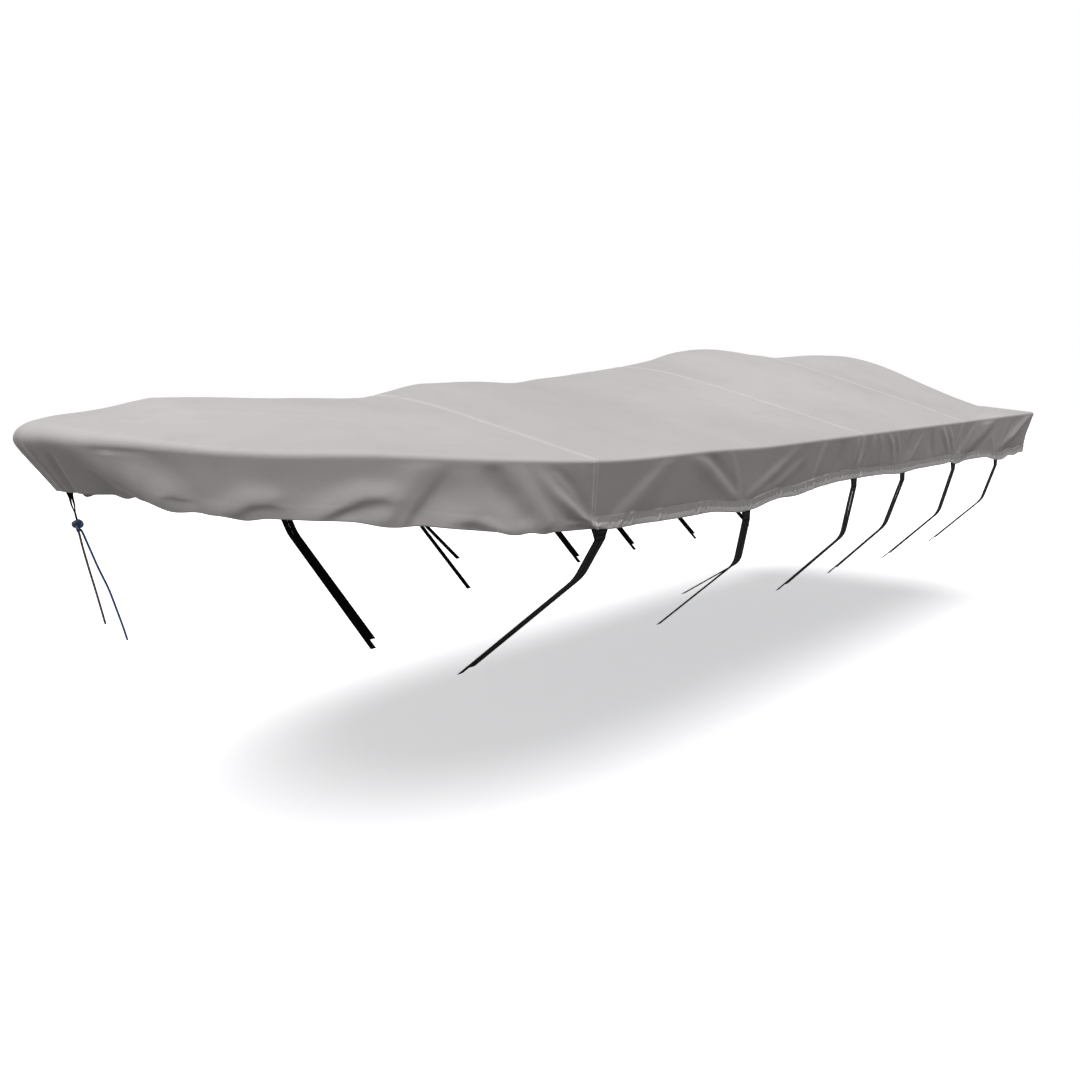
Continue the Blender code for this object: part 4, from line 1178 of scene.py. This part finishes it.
def hem_rows(cloth):
    """Two rows of stitching above the casing, along both sides and the stern."""
    start = int(np.argmin(np.abs(cloth.x - SEAMS[0])))
    rows = []
    for step in HEM_STITCH_ROWS:
        down = ARC_ROWS + SKIRT_ROWS + step
        for column in (cloth.skirt - 1 - down, cloth.main.shape[1] - cloth.skirt + down):
            rows.append(cloth.line(cloth.main[start:, column]))
        rows.append(cloth.line(cloth.stern[:, down + 1]))
    return rows


# ------------------------------------------------------------ straps and tubes
def lofted(name, rings, around, lengths, material):
    """A closed tube over rings of points, with flat coordinates and closed ends."""
    count, size = rings.shape[:2]
    index = np.arange(count * size).reshape(count, size)
    faces, pick = quads(np.concatenate([index, index[:, :1]], axis=1), ROUND_FACE)
    flat = np.stack(np.meshgrid(around, lengths), axis=-1)
    loops = [corner_values(flat, pick), flat[0, :size][::-1], flat[-1, :size]]
    caps = [index[0, ::-1].tolist(), index[-1].tolist()]
    return add_piece(name, rings.reshape(-1, 3), faces.tolist() + caps, np.concatenate(loops), material)


def strap(name, centres, across, widths, thickness, material):
    """A strip of webbing with rounded edges along a line of centres."""
    through = unit(np.cross(unit(np.gradient(centres, axis=0)), across))
    section = np.array(STRAP_SECTION)
    wide = (section[:, 0][None, :] * widths[:, None])[..., None] * across[:, None, :]
    deep = (section[:, 1][None, :] * thickness)[..., None] * through[:, None, :]
    rings = centres[:, None, :] + wide + deep
    around = np.append(section[:, 0], section[0, 0]) * float(np.mean(widths))
    return lofted(name, rings, around, line_lengths(centres), material)


def along_route(route, step):
    """Points a step apart on a smooth curve through the route's points."""
    knots = [Vector(point) for point in route]
    padded = [knots[0] * 2 - knots[1]] + knots + [knots[-1] * 2 - knots[-2]]
    points = [knots[0]]
    for a, b, c, d in zip(padded, padded[1:], padded[2:], padded[3:]):
        pieces = max(1, round((c - b).length / step))
        for piece in range(1, pieces + 1):
            t = piece / pieces
            points.append(0.5 * (2 * b + (c - a) * t + (2 * a - 5 * b + 4 * c - d) * t * t
                                 + (3 * b - 3 * c + d - a) * t ** 3))
    return np.array([tuple(point) for point in points])


def tube(name, centres, radius, sides, material):
    """A round cord along a line of centres."""
    tangents = unit(np.gradient(centres, axis=0))
    axes = []
    side = unit(np.cross(tangents[0], np.array(TUBE_SIDE)))
    for tangent in tangents:
        side = unit(side - tangent * (side @ tangent))
        axes.append(side)
    first = np.array(axes)
    second = np.cross(tangents, first)
    angle = np.arange(sides) / sides * 2 * math.pi
    radii = np.broadcast_to(radius, (len(centres),))[:, None, None]
    rings = centres[:, None, :] + radii * (
        np.cos(angle)[None, :, None] * first[:, None, :]
        + np.sin(angle)[None, :, None] * second[:, None, :])
    return lofted(name, rings, np.arange(sides + 1) / sides, line_lengths(centres), material)


# ------------------------------------------------------------ ties
def hem_point(cloth, x, side):
    """The hem's lower edge at section x on one side."""
    down = ARC_ROWS + SKIRT_ROWS + CASING_ROWS - 1
    column = cloth.skirt - 1 - down if side < 0 else cloth.main.shape[1] - cloth.skirt + down
    line = cloth.points[cloth.main[:, column]]
    return read_off(x, line[:, 0], line)


def leg_line(top, chine, end):
    """A taut run to the chine, a short turn and a taut run to the end."""
    first = unit(chine - top)
    second = unit(end - chine)
    points = [top + (chine - top) * t for t in UPPER_SHARES]
    for t in np.arange(BEND_STEPS + 1) / BEND_STEPS:
        before = chine - first * CHINE_BEND * (1 - t)
        after = chine + second * CHINE_BEND * t
        points.append(before * (1 - t) + after * t)
    points += [chine + (end - chine) * t for t in LOWER_SHARES]
    return np.array(points)


def add_tie(cloth, number, side, row, sizes, material, thread):
    """One hem loop with its bar tacks and its two legs of webbing."""
    x, chine_y, chine_z, end_y, end_z, short_y, short_z, spread = row
    label = ("port" if side < 0 else "starboard") + "_tie_%d" % number
    hem = [hem_point(cloth, x + share * LOOP_TOP / 2, side) for share in (-1.0, 0.0, 1.0)]
    top = hem[1] + np.array([0.0, -side * LOOP_INSET, LOOP_RISE])
    foot = top - np.array([0.0, 0.0, LOOP_DROP])
    steps = np.linspace(0.0, 1.0, LOOP_POINTS)
    along = np.array([1.0, 0.0, 0.0])
    centres = top + (foot - top) * steps[:, None]
    across = unit((hem[2] - hem[0]) / LOOP_TOP * (1 - steps[:, None]) + along * steps[:, None])
    widths = LOOP_TOP + (LOOP_FOOT - LOOP_TOP) * ease(steps * LOOP_TAPER)
    loop = strap(label + "_webbing_loop", centres, across, widths, sizes.loop_thickness, material)
    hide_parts(label + "_loop")
    start = foot - np.array([0.0, 0.0, LEG_GAP])
    for letter, shift, y, z in (("a", -0.5, end_y, end_z), ("b", 0.5, short_y, short_z)):
        offset = along * shift * LEG_PITCH
        chine = np.array([x, side * chine_y, chine_z]) + offset
        line = leg_line(start + offset, chine, np.array([x, side * y, z]) + offset)
        run = np.linspace(0.0, 1.0, len(line))
        line[:, 0] += 2 * shift * spread * swell(run - SPREAD_PLACE, SPREAD_REACH)
        leg = strap("%s_webbing_%s" % (label, letter), line, np.tile(along, (len(line), 1)),
                    np.full(len(line), sizes.webbing_width), sizes.webbing_thickness, material)
        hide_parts("%s_leg_%s" % (label, letter))
    tacks = add_stitches(label + "_tacks", loop_tacks(centres, across, widths, side), sizes, thread)


def loop_tacks(centres, across, widths, side):
    """Bar tacks across the loop, near its top and its foot."""
    rows = []
    normal = np.array([0.0, float(side), 0.0])
    for i in TACK_PLACES:
        ends = [centres[i] + across[i] * widths[i] * share + normal * TACK_LIFT
                for share in (-TACK_SHARE, TACK_SHARE)]
        line = ends[0] + (ends[1] - ends[0]) * np.linspace(0, 1, TACK_POINTS)[:, None]
        rows.append((line, np.tile(normal, (len(line), 1))))
    return rows


# ------------------------------------------------------------ shader groups
def new_group(name, vector, numbers):
    """A shader group with a vector and numbers going in; returns it and its sockets."""
    tree = bpy.data.node_groups.new(name, "ShaderNodeTree")
    tree.interface.new_socket(vector, in_out="INPUT", socket_type="NodeSocketVector")
    for label, default in numbers.items():
        socket = tree.interface.new_socket(label, in_out="INPUT", socket_type="NodeSocketFloat")
        socket.default_value = default
    return tree, tree.nodes.new("NodeGroupInput").outputs


def close_group(tree, results):
    """Gives a shader group the results that it hands out."""
    for label in results:
        tree.interface.new_socket(label, in_out="OUTPUT", socket_type="NodeSocketFloat")
    end = tree.nodes.new("NodeGroupOutput")
    for label, value in results.items():
        tree.links.new(value, end.inputs[label])
    return tree


def feed(tree, socket, value):
    """Gives a socket a link, a colour or a number."""
    if isinstance(value, bpy.types.NodeSocket):
        tree.links.new(value, socket)
    elif isinstance(value, tuple):
        socket.default_value = (*value, 1.0)
    else:
        socket.default_value = value


def add_node(tree, kind, inputs, **settings):
    """A shader node with its settings, and its inputs by label or number."""
    node = tree.nodes.new("ShaderNode" + kind)
    for label, value in settings.items():
        setattr(node, label, value)
    for label, value in inputs.items():
        feed(tree, node.inputs[label], value)
    return node


def math_node(tree, operation, *values):
    """A Math node over sockets and numbers; returns its output."""
    return add_node(tree, "Math", dict(enumerate(values)), operation=operation).outputs[0]


def noise_node(tree, vector, scale, detail, roughness):
    inputs = {"Vector": vector, "Scale": scale, "Detail": detail, "Roughness": roughness}
    return add_node(tree, "TexNoise", inputs).outputs["Fac"]


def range_node(tree, value, low, high, new_low, new_high):
    """A smooth step from one range of values to another."""
    inputs = {"Value": value, "From Min": low, "From Max": high, "To Min": new_low, "To Max": new_high}
    return add_node(tree, "MapRange", inputs, interpolation_type="SMOOTHSTEP").outputs["Result"]


def mix_node(tree, factor, first, second):
    """A colour mix; each colour is a socket or a fixed colour."""
    inputs = {"Factor": factor, 6: first, 7: second}
    return add_node(tree, "Mix", inputs, data_type="RGBA").outputs[2]


def split_node(tree, vector):
    """The X and Y of a vector."""
    return add_node(tree, "SeparateXYZ", {0: vector}).outputs[:2]


def rounded(tree, value):
    """Rounded ridges of unit width, from 0 between them to 1 on top."""
    turn = math_node(tree, "MULTIPLY", value, math.pi)
    return math_node(tree, "ABSOLUTE", math_node(tree, "SINE", turn))


def crossing(tree, first, second):
    """Two sets of yarns that pass over and under: their height, and 1 where the first is over."""
    places = math_node(tree, "ADD", math_node(tree, "FLOOR", first), math_node(tree, "FLOOR", second))
    over = math_node(tree, "GREATER_THAN", math_node(tree, "PINGPONG", places, 1.0), 0.5)
    under = math_node(tree, "SUBTRACT", 1.0, over)
    height = math_node(tree, "ADD", math_node(tree, "MULTIPLY", rounded(tree, first), over),
                       math_node(tree, "MULTIPLY", rounded(tree, second), under))
    return height, over


def weave_group(name):
    """Plain weave: yarns that pass over and under, from flat coordinates."""
    tree, start = new_group(name, "Flat", {"Yarns per metre": YARNS_PER_METRE})
    scaled = add_node(tree, "VectorMath", {}, operation="SCALE")
    tree.links.new(start["Flat"], scaled.inputs[0])
    tree.links.new(start["Yarns per metre"], scaled.inputs["Scale"])
    height, _ = crossing(tree, *split_node(tree, scaled.outputs[0]))
    return close_group(tree, {"Height": height})


def wear_group(name):
    """Uneven fading and settled dust, from object coordinates."""
    tree, start = new_group(name, "Place", {"Scale": 1.0})
    broad, blotch, speck, crumple = [
        noise_node(tree, start["Place"], math_node(tree, "MULTIPLY", start["Scale"], scale), *form)
        for scale, *form in WEAR_NOISES]
    dust = math_node(tree, "MULTIPLY", range_node(tree, blotch, *DUST_RANGE),
                     range_node(tree, speck, *SPECK_RANGE))
    fade = range_node(tree, broad, *FADE_RANGE)
    return close_group(tree, {"Fade": fade, "Dust": dust, "Crumple": crumple})


def ribbed_group(name):
    """Webbing: chevron ribs between two plain selvedges, from flat coordinates."""
    tree, start = new_group(name, "Flat", {"Width": 0.025, "Rib": 0.0022})
    wide, along = split_node(tree, start["Flat"])
    bent = math_node(tree, "PINGPONG", wide, CHEVRON_WIDTH)
    slant = math_node(tree, "ADD", along, math_node(tree, "MULTIPLY", bent, CHEVRON_SLOPE))
    ribs = math_node(tree, "ABSOLUTE", math_node(tree, "SINE", math_node(
        tree, "DIVIDE", math_node(tree, "MULTIPLY", slant, math.pi), start["Rib"])))
    half = math_node(tree, "MULTIPLY", start["Width"], 0.5)
    edge = math_node(tree, "SUBTRACT", half, math_node(tree, "ABSOLUTE", wide))
    height = math_node(tree, "MULTIPLY", ribs, range_node(tree, edge, *SELVEDGE_RANGE))
    grime = noise_node(tree, start["Flat"], *GRIME_NOISE)
    rubbed = math_node(tree, "MULTIPLY", range_node(tree, height, *RUBBED_RANGE),
                       range_node(tree, grime, *GRIME_RANGE))
    return close_group(tree, {"Height": height, "Rubbed": rubbed})


def braid_group(name):
    """Round braid: two sets of strands that cross, from flat coordinates."""
    tree, start = new_group(name, "Flat", {"Pitch": 0.012, "Strands": 4.0})
    around, run = split_node(tree, start["Flat"])
    turns = math_node(tree, "MULTIPLY", around, start["Strands"])
    along = math_node(tree, "DIVIDE", math_node(tree, "MULTIPLY", run, start["Strands"]), start["Pitch"])
    left = math_node(tree, "ADD", turns, along)
    height, over = crossing(tree, left, math_node(tree, "SUBTRACT", turns, along))
    fourth = math_node(tree, "PINGPONG", math_node(tree, "FLOOR", left), 2.0)
    tracer = math_node(tree, "MULTIPLY", math_node(tree, "GREATER_THAN", fourth, 1.5), over)
    return close_group(tree, {"Height": height, "Tracer": tracer})


def place_group(tree, name, build, inputs):
    """A node of a shader group that is built once; returns its outputs."""
    group = bpy.data.node_groups.get(name) or build(name)
    return add_node(tree, "Group", inputs, node_tree=group).outputs


def start_material(name, roughness, sheen):
    """A new material with its shader, its flat and its object coordinates."""
    material = bpy.data.materials.new(name)
    material.use_nodes = True
    tree = material.node_tree
    shader = tree.nodes["Principled BSDF"]
    shader.inputs["Roughness"].default_value = roughness
    shader.inputs["Sheen Weight"].default_value = sheen
    shader.inputs["Sheen Roughness"].default_value = SHEEN_ROUGHNESS
    flat = add_node(tree, "UVMap", {}, uv_map="flat").outputs["UV"]
    place = add_node(tree, "TexCoord", {}).outputs["Object"]
    return material, tree, shader, flat, place


def finish_shader(tree, shader, inputs, bumps=()):
    """Feeds the shader, with bumps in a row: each its height, strength and distance."""
    normal = {}
    for height, strength, distance in bumps:
        values = {"Height": height, "Strength": strength, "Distance": distance, **normal}
        normal = {"Normal": add_node(tree, "Bump", values).outputs["Normal"]}
    for label, value in {**inputs, **normal}.items():
        feed(tree, shader.inputs[label], value)


def cloth_material(name, colours):
    """Coated polyester: fine plain weave, bleached by the sun, with dust in it, with painted shade
    between its yarns and a painted highlight on its seams and casing.
    """
    material, tree, shader, flat, place = start_material(name, *CLOTH_FINISH)
    weave = place_group(tree, "Plain Weave", weave_group, {"Flat": flat})
    wear = place_group(tree, "Weathering", wear_group, {"Place": place})
    # the mask of the painted highlight on the doubled bands: the seams and the casing
    trim_highlight = add_node(tree, "Attribute", {}, attribute_name="trim_highlight").outputs["Fac"]
    faded_and_highlit = tuple(colours.cloth_faded_and_highlit)
    soiled_and_shaded = tuple(colours.cloth_soiled_and_shaded)
    fade = math_node(tree, "MULTIPLY", wear["Fade"], CLOTH_FADE)
    colour = mix_node(tree, fade, tuple(colours.cloth), faded_and_highlit)
    colour = mix_node(tree, math_node(tree, "MULTIPLY", wear["Dust"], CLOTH_DUST), colour, soiled_and_shaded)
    # painted highlight: the seams and the casing are painted paler, as if they caught more light
    colour = mix_node(tree, trim_highlight, colour, faded_and_highlit)
    # painted shade: the weave's low places between the yarns are darkened toward the darker colour
    colour = mix_node(tree, range_node(tree, weave["Height"], *WEAVE_SHADE), colour, soiled_and_shaded)
    roughness = range_node(tree, wear["Dust"], *CLOTH_ROUGHNESS)
    finish_shader(tree, shader, {"Base Color": colour, "Roughness": roughness},
                  ((wear["Crumple"], *CRUMPLE_BUMP), (weave["Height"], *WEAVE_BUMP)))
    return material


def thread_material(name, colours):
    """Bonded thread that catches the light."""
    material, tree, shader, _, place = start_material(name, *THREAD_FINISH)
    wear = place_group(tree, "Weathering", wear_group, {"Place": place, "Scale": THREAD_WEAR})
    colour = mix_node(tree, wear["Dust"], tuple(colours.thread), tuple(colours.cloth))
    twist = noise_node(tree, place, *TWIST_NOISE)
    finish_shader(tree, shader, {"Base Color": colour}, ((twist, *TWIST_BUMP),))
    return material


def tack_material(name, colours):
    """Black thread of the bar tacks."""
    material, tree, shader, _, place = start_material(name, *TACK_FINISH)
    speck = noise_node(tree, place, *SPECK_NOISE)
    colour = mix_node(tree, speck, tuple(colours.webbing), tuple(colours.webbing_worn))
    finish_shader(tree, shader, {"Base Color": colour}, ((speck, *SPECK_BUMP),))
    return material


def webbing_material(name, colours):
    """Black polyester webbing, rubbed paler on its ribs."""
    material, tree, shader, flat, place = start_material(name, *WEBBING_FINISH)
    ribs = place_group(tree, "Webbing Ribs", ribbed_group, {"Flat": flat})
    wear = place_group(tree, "Weathering", wear_group, {"Place": place, "Scale": WEBBING_WEAR})
    colour = mix_node(tree, ribs["Rubbed"], tuple(colours.webbing), tuple(colours.webbing_worn))
    dust = math_node(tree, "MULTIPLY", wear["Dust"], WEBBING_DUST)
    colour = mix_node(tree, dust, colour, tuple(colours.cloth_soiled_and_shaded))
    roughness = range_node(tree, ribs["Height"], *WEBBING_ROUGHNESS)
    inputs = {"Base Color": colour, "Roughness": roughness, "Specular IOR Level": WEBBING_SPECULAR}
    finish_shader(tree, shader, inputs, ((ribs["Height"], *RIB_BUMP),))
    return material


def cord_material(name, ground, fleck, amount):
    """Braided cord with a tracer strand and painted shade between its strands."""
    material, tree, shader, flat, place = start_material(name, *CORD_FINISH)
    braid = place_group(tree, "Round Braid", braid_group, {"Flat": flat})
    wear = place_group(tree, "Weathering", wear_group, {"Place": place, "Scale": CORD_WEAR})
    colour = mix_node(tree, math_node(tree, "MULTIPLY", braid["Tracer"], amount), ground, fleck)
    # painted shade: the low places between the braid's strands are darkened
    colour = mix_node(tree, range_node(tree, braid["Height"], *BRAID_SHADE), colour, CORD_SHADE)
    colour = mix_node(tree, math_node(tree, "MULTIPLY", wear["Dust"], CORD_DUST), colour, fleck)
    finish_shader(tree, shader, {"Base Color": colour}, ((braid["Height"], *BRAID_BUMP),))
    return material


def floor_material(name, colours):
    """Matt studio paper, which throws less light back up than it shows."""
    material, tree, shader, _, place = start_material(name, *PAPER_FINISH)
    grain = noise_node(tree, place, *PAPER_NOISE)
    paler = tuple(min(1.0, value * FLOOR_GRAIN) for value in colours.floor)
    seen = add_node(tree, "LightPath", {}).outputs
    held = tuple(value * FLOOR_BOUNCE * warm for value, warm in zip(colours.floor, FLOOR_WARMTH))
    paper = mix_node(tree, grain, tuple(colours.floor), paler)
    finish_shader(tree, shader, {
        "Base Color": mix_node(tree, seen["Is Diffuse Ray"], paper, held),
        "Emission Color": mix_node(tree, seen["Is Camera Ray"], (0.0, 0.0, 0.0), FLOOR_GLOW_TONE),
        "Emission Strength": FLOOR_GLOW})
    return material


def shared_material(name, build, *details):
    """A material by name, built once."""
    return bpy.data.materials.get(name) or build(name, *details)


# ------------------------------------------------------------ operators
class BOATCOVER_OT_stage(bpy.types.Operator):
    """Set up the camera, the soft lights and the pale floor"""

    bl_idname = "boatcover.stage"
    bl_label = "Stage"

    def execute(self, context):
        add_camera(context.scene)
        add_sky(context.scene)
        for details in SOFT_LIGHTS:
            add_soft_light(context.scene, *details)
        add_floor(context.scene.boat_cover_colours)
        return {"FINISHED"}


def add_camera(scene):
    """The camera, from its pitch, heading and tilt."""
    heading = Vector((math.cos(CAMERA_YAW), math.sin(CAMERA_YAW), 0.0))
    right = Vector((math.sin(CAMERA_YAW), -math.cos(CAMERA_YAW), 0.0))
    rise = Vector((0.0, 0.0, 1.0))
    forward = heading * math.cos(CAMERA_PITCH) - rise * math.sin(CAMERA_PITCH)
    down = heading * -math.sin(CAMERA_PITCH) - rise * math.cos(CAMERA_PITCH)
    tilt = Matrix.Rotation(CAMERA_TILT, 3, "Y")
    axes = [tilt @ axis for axis in (right, -down, -forward)]
    data = bpy.data.cameras.new("view")
    data.lens = LENS
    data.sensor_width = SENSOR
    data.sensor_fit = "HORIZONTAL"
    data.clip_end = CLIP_END
    camera = bpy.data.objects.new("view", data)
    turned = Matrix(axes).transposed().to_4x4()
    camera.matrix_world = Matrix.Translation(CAMERA_PLACE) @ turned
    scene.collection.objects.link(camera)
    scene.camera = camera


def add_sky(scene):
    """Soft light from all round, before a plain white backdrop."""
    world = bpy.data.worlds.new("studio_sky")
    world.use_nodes = True
    tree = world.node_tree
    lighting = tree.nodes["Background"]
    feed(tree, lighting.inputs["Color"], SKY_COLOUR)
    feed(tree, lighting.inputs["Strength"], SKY_STRENGTH)
    backdrop = add_node(tree, "Background", {"Color": BACKDROP_COLOUR, "Strength": BACKDROP_STRENGTH})
    seen = add_node(tree, "LightPath", {}).outputs["Is Camera Ray"]
    mix = add_node(tree, "MixShader", {"Fac": seen, 1: lighting.outputs[0], 2: backdrop.outputs[0]})
    feed(tree, tree.nodes["World Output"].inputs["Surface"], mix.outputs[0])
    scene.world = world
    scene.view_settings.view_transform = "Standard"


def add_soft_light(scene, name, heading, height, strength, softness, colour):
    data = bpy.data.lights.new(name, "SUN")
    data.energy = strength
    data.angle = softness
    data.color = colour
    light = bpy.data.objects.new(name, data)
    flat = math.cos(height)
    source = Vector((flat * math.cos(heading), flat * math.sin(heading), math.sin(height)))
    light.location = source * LIGHT_DISTANCE
    light.rotation_euler = source.to_track_quat("Z", "Y").to_euler()
    scene.collection.objects.link(light)


def add_floor(colours):
    bpy.ops.object.select_all(action="DESELECT")
    bpy.ops.mesh.primitive_plane_add(size=FLOOR_SIZE, location=(0.0, 0.0, FLOOR_Z))
    floor = bpy.context.object
    floor.name = "studio_floor"
    bpy.ops.object.transform_apply(location=True, rotation=True, scale=True)
    floor.data.materials.append(shared_material("studio_paper", floor_material, colours))


class BOATCOVER_OT_bow_tie(bpy.types.Operator):
    """Add the bow tie: its webbing loop, its knot and the two cords' ends"""

    bl_idname = "boatcover.bow_tie"
    bl_label = "Bow tie"

    def execute(self, context):
        sizes = context.scene.boat_cover_sizes
        colours = context.scene.boat_cover_colours
        fleck = tuple(colours.fleck)
        flecked = shared_material("flecked_braid", cord_material, tuple(colours.black_yarn), fleck,
                                  FLECKED_TRACER)
        blue = shared_material("blue_braid", cord_material, tuple(colours.blue_yarn), fleck,
                               BLUE_TRACER)
        webbing = shared_material("black_webbing", webbing_material, colours)
        add_cord_ends(sizes, flecked, blue)
        add_bow_loop(webbing)
        return {"FINISHED"}


def add_cord_ends(sizes, flecked, blue):
    """Both cords below the knot, and the knot that they are tied in."""
    radius = sizes.cord_diameter / 2
    knots = add_knot(radius, flecked, blue)
    for name, route, material, slot, knot in (
            ("flecked_cord_end", FLECKED_CORD, flecked, "flecked_cord", knots[0]),
            ("blue_cord_end", BLUE_CORD, blue, "blue_cord", knots[1])):
        line = along_route(route, CORD_STEP)
        radii = np.full(len(line), radius)
        radii[-1] = radius * CORD_END
        piece = tube(name, line, radii, CORD_SIDES, material)
        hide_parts("bow_tie_" + slot)


def add_knot(radius, flecked, blue):
    """An overhand knot of both cords, pulled tight."""
    pieces = []
    turn = np.linspace(0.0, 2 * math.pi, KNOT_POINTS, endpoint=False)
    half = np.array(KNOT_SIZE) - radius
    for name, shift, material, slot in (
            ("bow_knot_flecked", 0.0, flecked, "flecked_cord"),
            ("bow_knot_blue", KNOT_SHIFT, blue, "blue_cord")):
        angle = np.append(turn, turn[0]) + shift
        line = np.stack([np.sin(angle) + 2 * np.sin(2 * angle), -np.sin(3 * angle) * 3.0,
                         np.cos(angle) - 2 * np.cos(2 * angle)], axis=-1) / 3.0
        piece = tube(name, np.array(KNOT) + line * half, radius * KNOT_FULLNESS, CORD_SIDES, material)
        pieces.append(piece)
    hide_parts("bow_tie_knot")
    return pieces


def add_bow_loop(webbing):
    """The short twisted loop of webbing that hangs from the bow's hem."""
    top = np.array([TIE_TOP_X, TIE_TOP_Y, float(hem_base(BOW_TIP)) + TIE_RISE])
    foot = np.array(KNOT) + np.array([0.0, 0.0, KNOT_SIZE[2] * TIE_FOOT])
    share = np.linspace(0.0, 1.0, TIE_POINTS)
    widths = np.interp(share, np.linspace(0.0, 1.0, len(TIE_WIDTHS)), TIE_WIDTHS)
    centres = top + (foot - top) * share[:, None]
    turn = TIE_TWIST * share
    across = np.stack([np.cos(turn), np.sin(turn), np.zeros(len(share))], axis=-1)
    for name, side in (("bow_webbing_near", -1.0), ("bow_webbing_far", 1.0)):
        bulge = TIE_BULGE * swell(share - TIE_BULGE_PLACE, TIE_BULGE_REACH)
        line = centres + across * (side * (TIE_APART * widths + bulge))[:, None]
        piece = strap(name, line, across, widths * TIE_STRIP, TIE_THICKNESS, webbing)
        if side < 0:
            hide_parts("bow_tie_loop")


class BOATCOVER_OT_cloth(bpy.types.Operator):
    """Add the four cloth panels with their folds, hem and seams"""

    bl_idname = "boatcover.cloth"
    bl_label = "Cloth panels"

    def execute(self, context):
        sizes = context.scene.boat_cover_sizes
        material = shared_material("marine_polyester", cloth_material,
                                   context.scene.boat_cover_colours)
        cloth = shared_cloth(sizes)
        for number, (name, node, flat) in enumerate(zip(PANEL_PIECES, PANELS, PANEL_FLAT)):
            panel = add_panel(cloth, number, name, material)
            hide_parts(node)
        return {"FINISHED"}


class BOATCOVER_OT_stitching(bpy.types.Operator):
    """Add the topstitching of the seams and of the hem's casing"""

    bl_idname = "boatcover.stitching"
    bl_label = "Stitching"

    def execute(self, context):
        sizes = context.scene.boat_cover_sizes
        thread = shared_material("bonded_thread", thread_material,
                                 context.scene.boat_cover_colours)
        cloth = shared_cloth(sizes)
        for name, rows in (("seam_topstitching", seam_rows(cloth)),
                           ("hem_topstitching", hem_rows(cloth))):
            piece = add_stitches(name, rows, sizes, thread)
        return {"FINISHED"}


class BOATCOVER_OT_ties(bpy.types.Operator):
    """Add the webbing loops and legs along both sides"""

    bl_idname = "boatcover.ties"
    bl_label = "Tie-down webbing"

    def execute(self, context):
        sizes = context.scene.boat_cover_sizes
        colours = context.scene.boat_cover_colours
        webbing = shared_material("black_webbing", webbing_material, colours)
        thread = shared_material("tack_thread", tack_material, colours)
        cloth = shared_cloth(sizes)
        for side in (-1, 1):
            for number, row in enumerate(TIES, start=1):
                add_tie(cloth, number, side, row, sizes, webbing, thread)
        return {"FINISHED"}


# ------------------------------------------------------------ panel and set-up
class BOATCOVER_PT_panel(bpy.types.Panel):
    """The cover's pieces, sizes and colours in the sidebar"""

    bl_idname = "BOATCOVER_PT_panel"
    bl_label = "Boat Cover"
    bl_space_type = "VIEW_3D"
    bl_region_type = "UI"
    bl_category = "Boat Cover"

    def draw(self, context):
        layout = self.layout
        for name in OPERATORS:
            layout.operator("boatcover." + name)
        for group in (context.scene.boat_cover_sizes, context.scene.boat_cover_colours):
            box = layout.box()
            for label in group.__annotations__:
                box.prop(group, label)


OPERATORS = ("stage", "bow_tie", "cloth", "stitching", "ties")
CLASSES = (
    BoatCoverSizes,
    BoatCoverColours,
    BOATCOVER_OT_stage,
    BOATCOVER_OT_bow_tie,
    BOATCOVER_OT_cloth,
    BOATCOVER_OT_stitching,
    BOATCOVER_OT_ties,
    BOATCOVER_PT_panel,
)


def register():
    for item in CLASSES:
        bpy.utils.register_class(item)
    bpy.types.Scene.boat_cover_sizes = PointerProperty(type=BoatCoverSizes)
    bpy.types.Scene.boat_cover_colours = PointerProperty(type=BoatCoverColours)


def unregister():
    del bpy.types.Scene.boat_cover_colours
    del bpy.types.Scene.boat_cover_sizes
    for item in reversed(CLASSES):
        bpy.utils.unregister_class(item)


def main():
    register()
    for name in OPERATORS:
        getattr(bpy.ops.boatcover, name)()


if __name__ == "__main__":
    main()
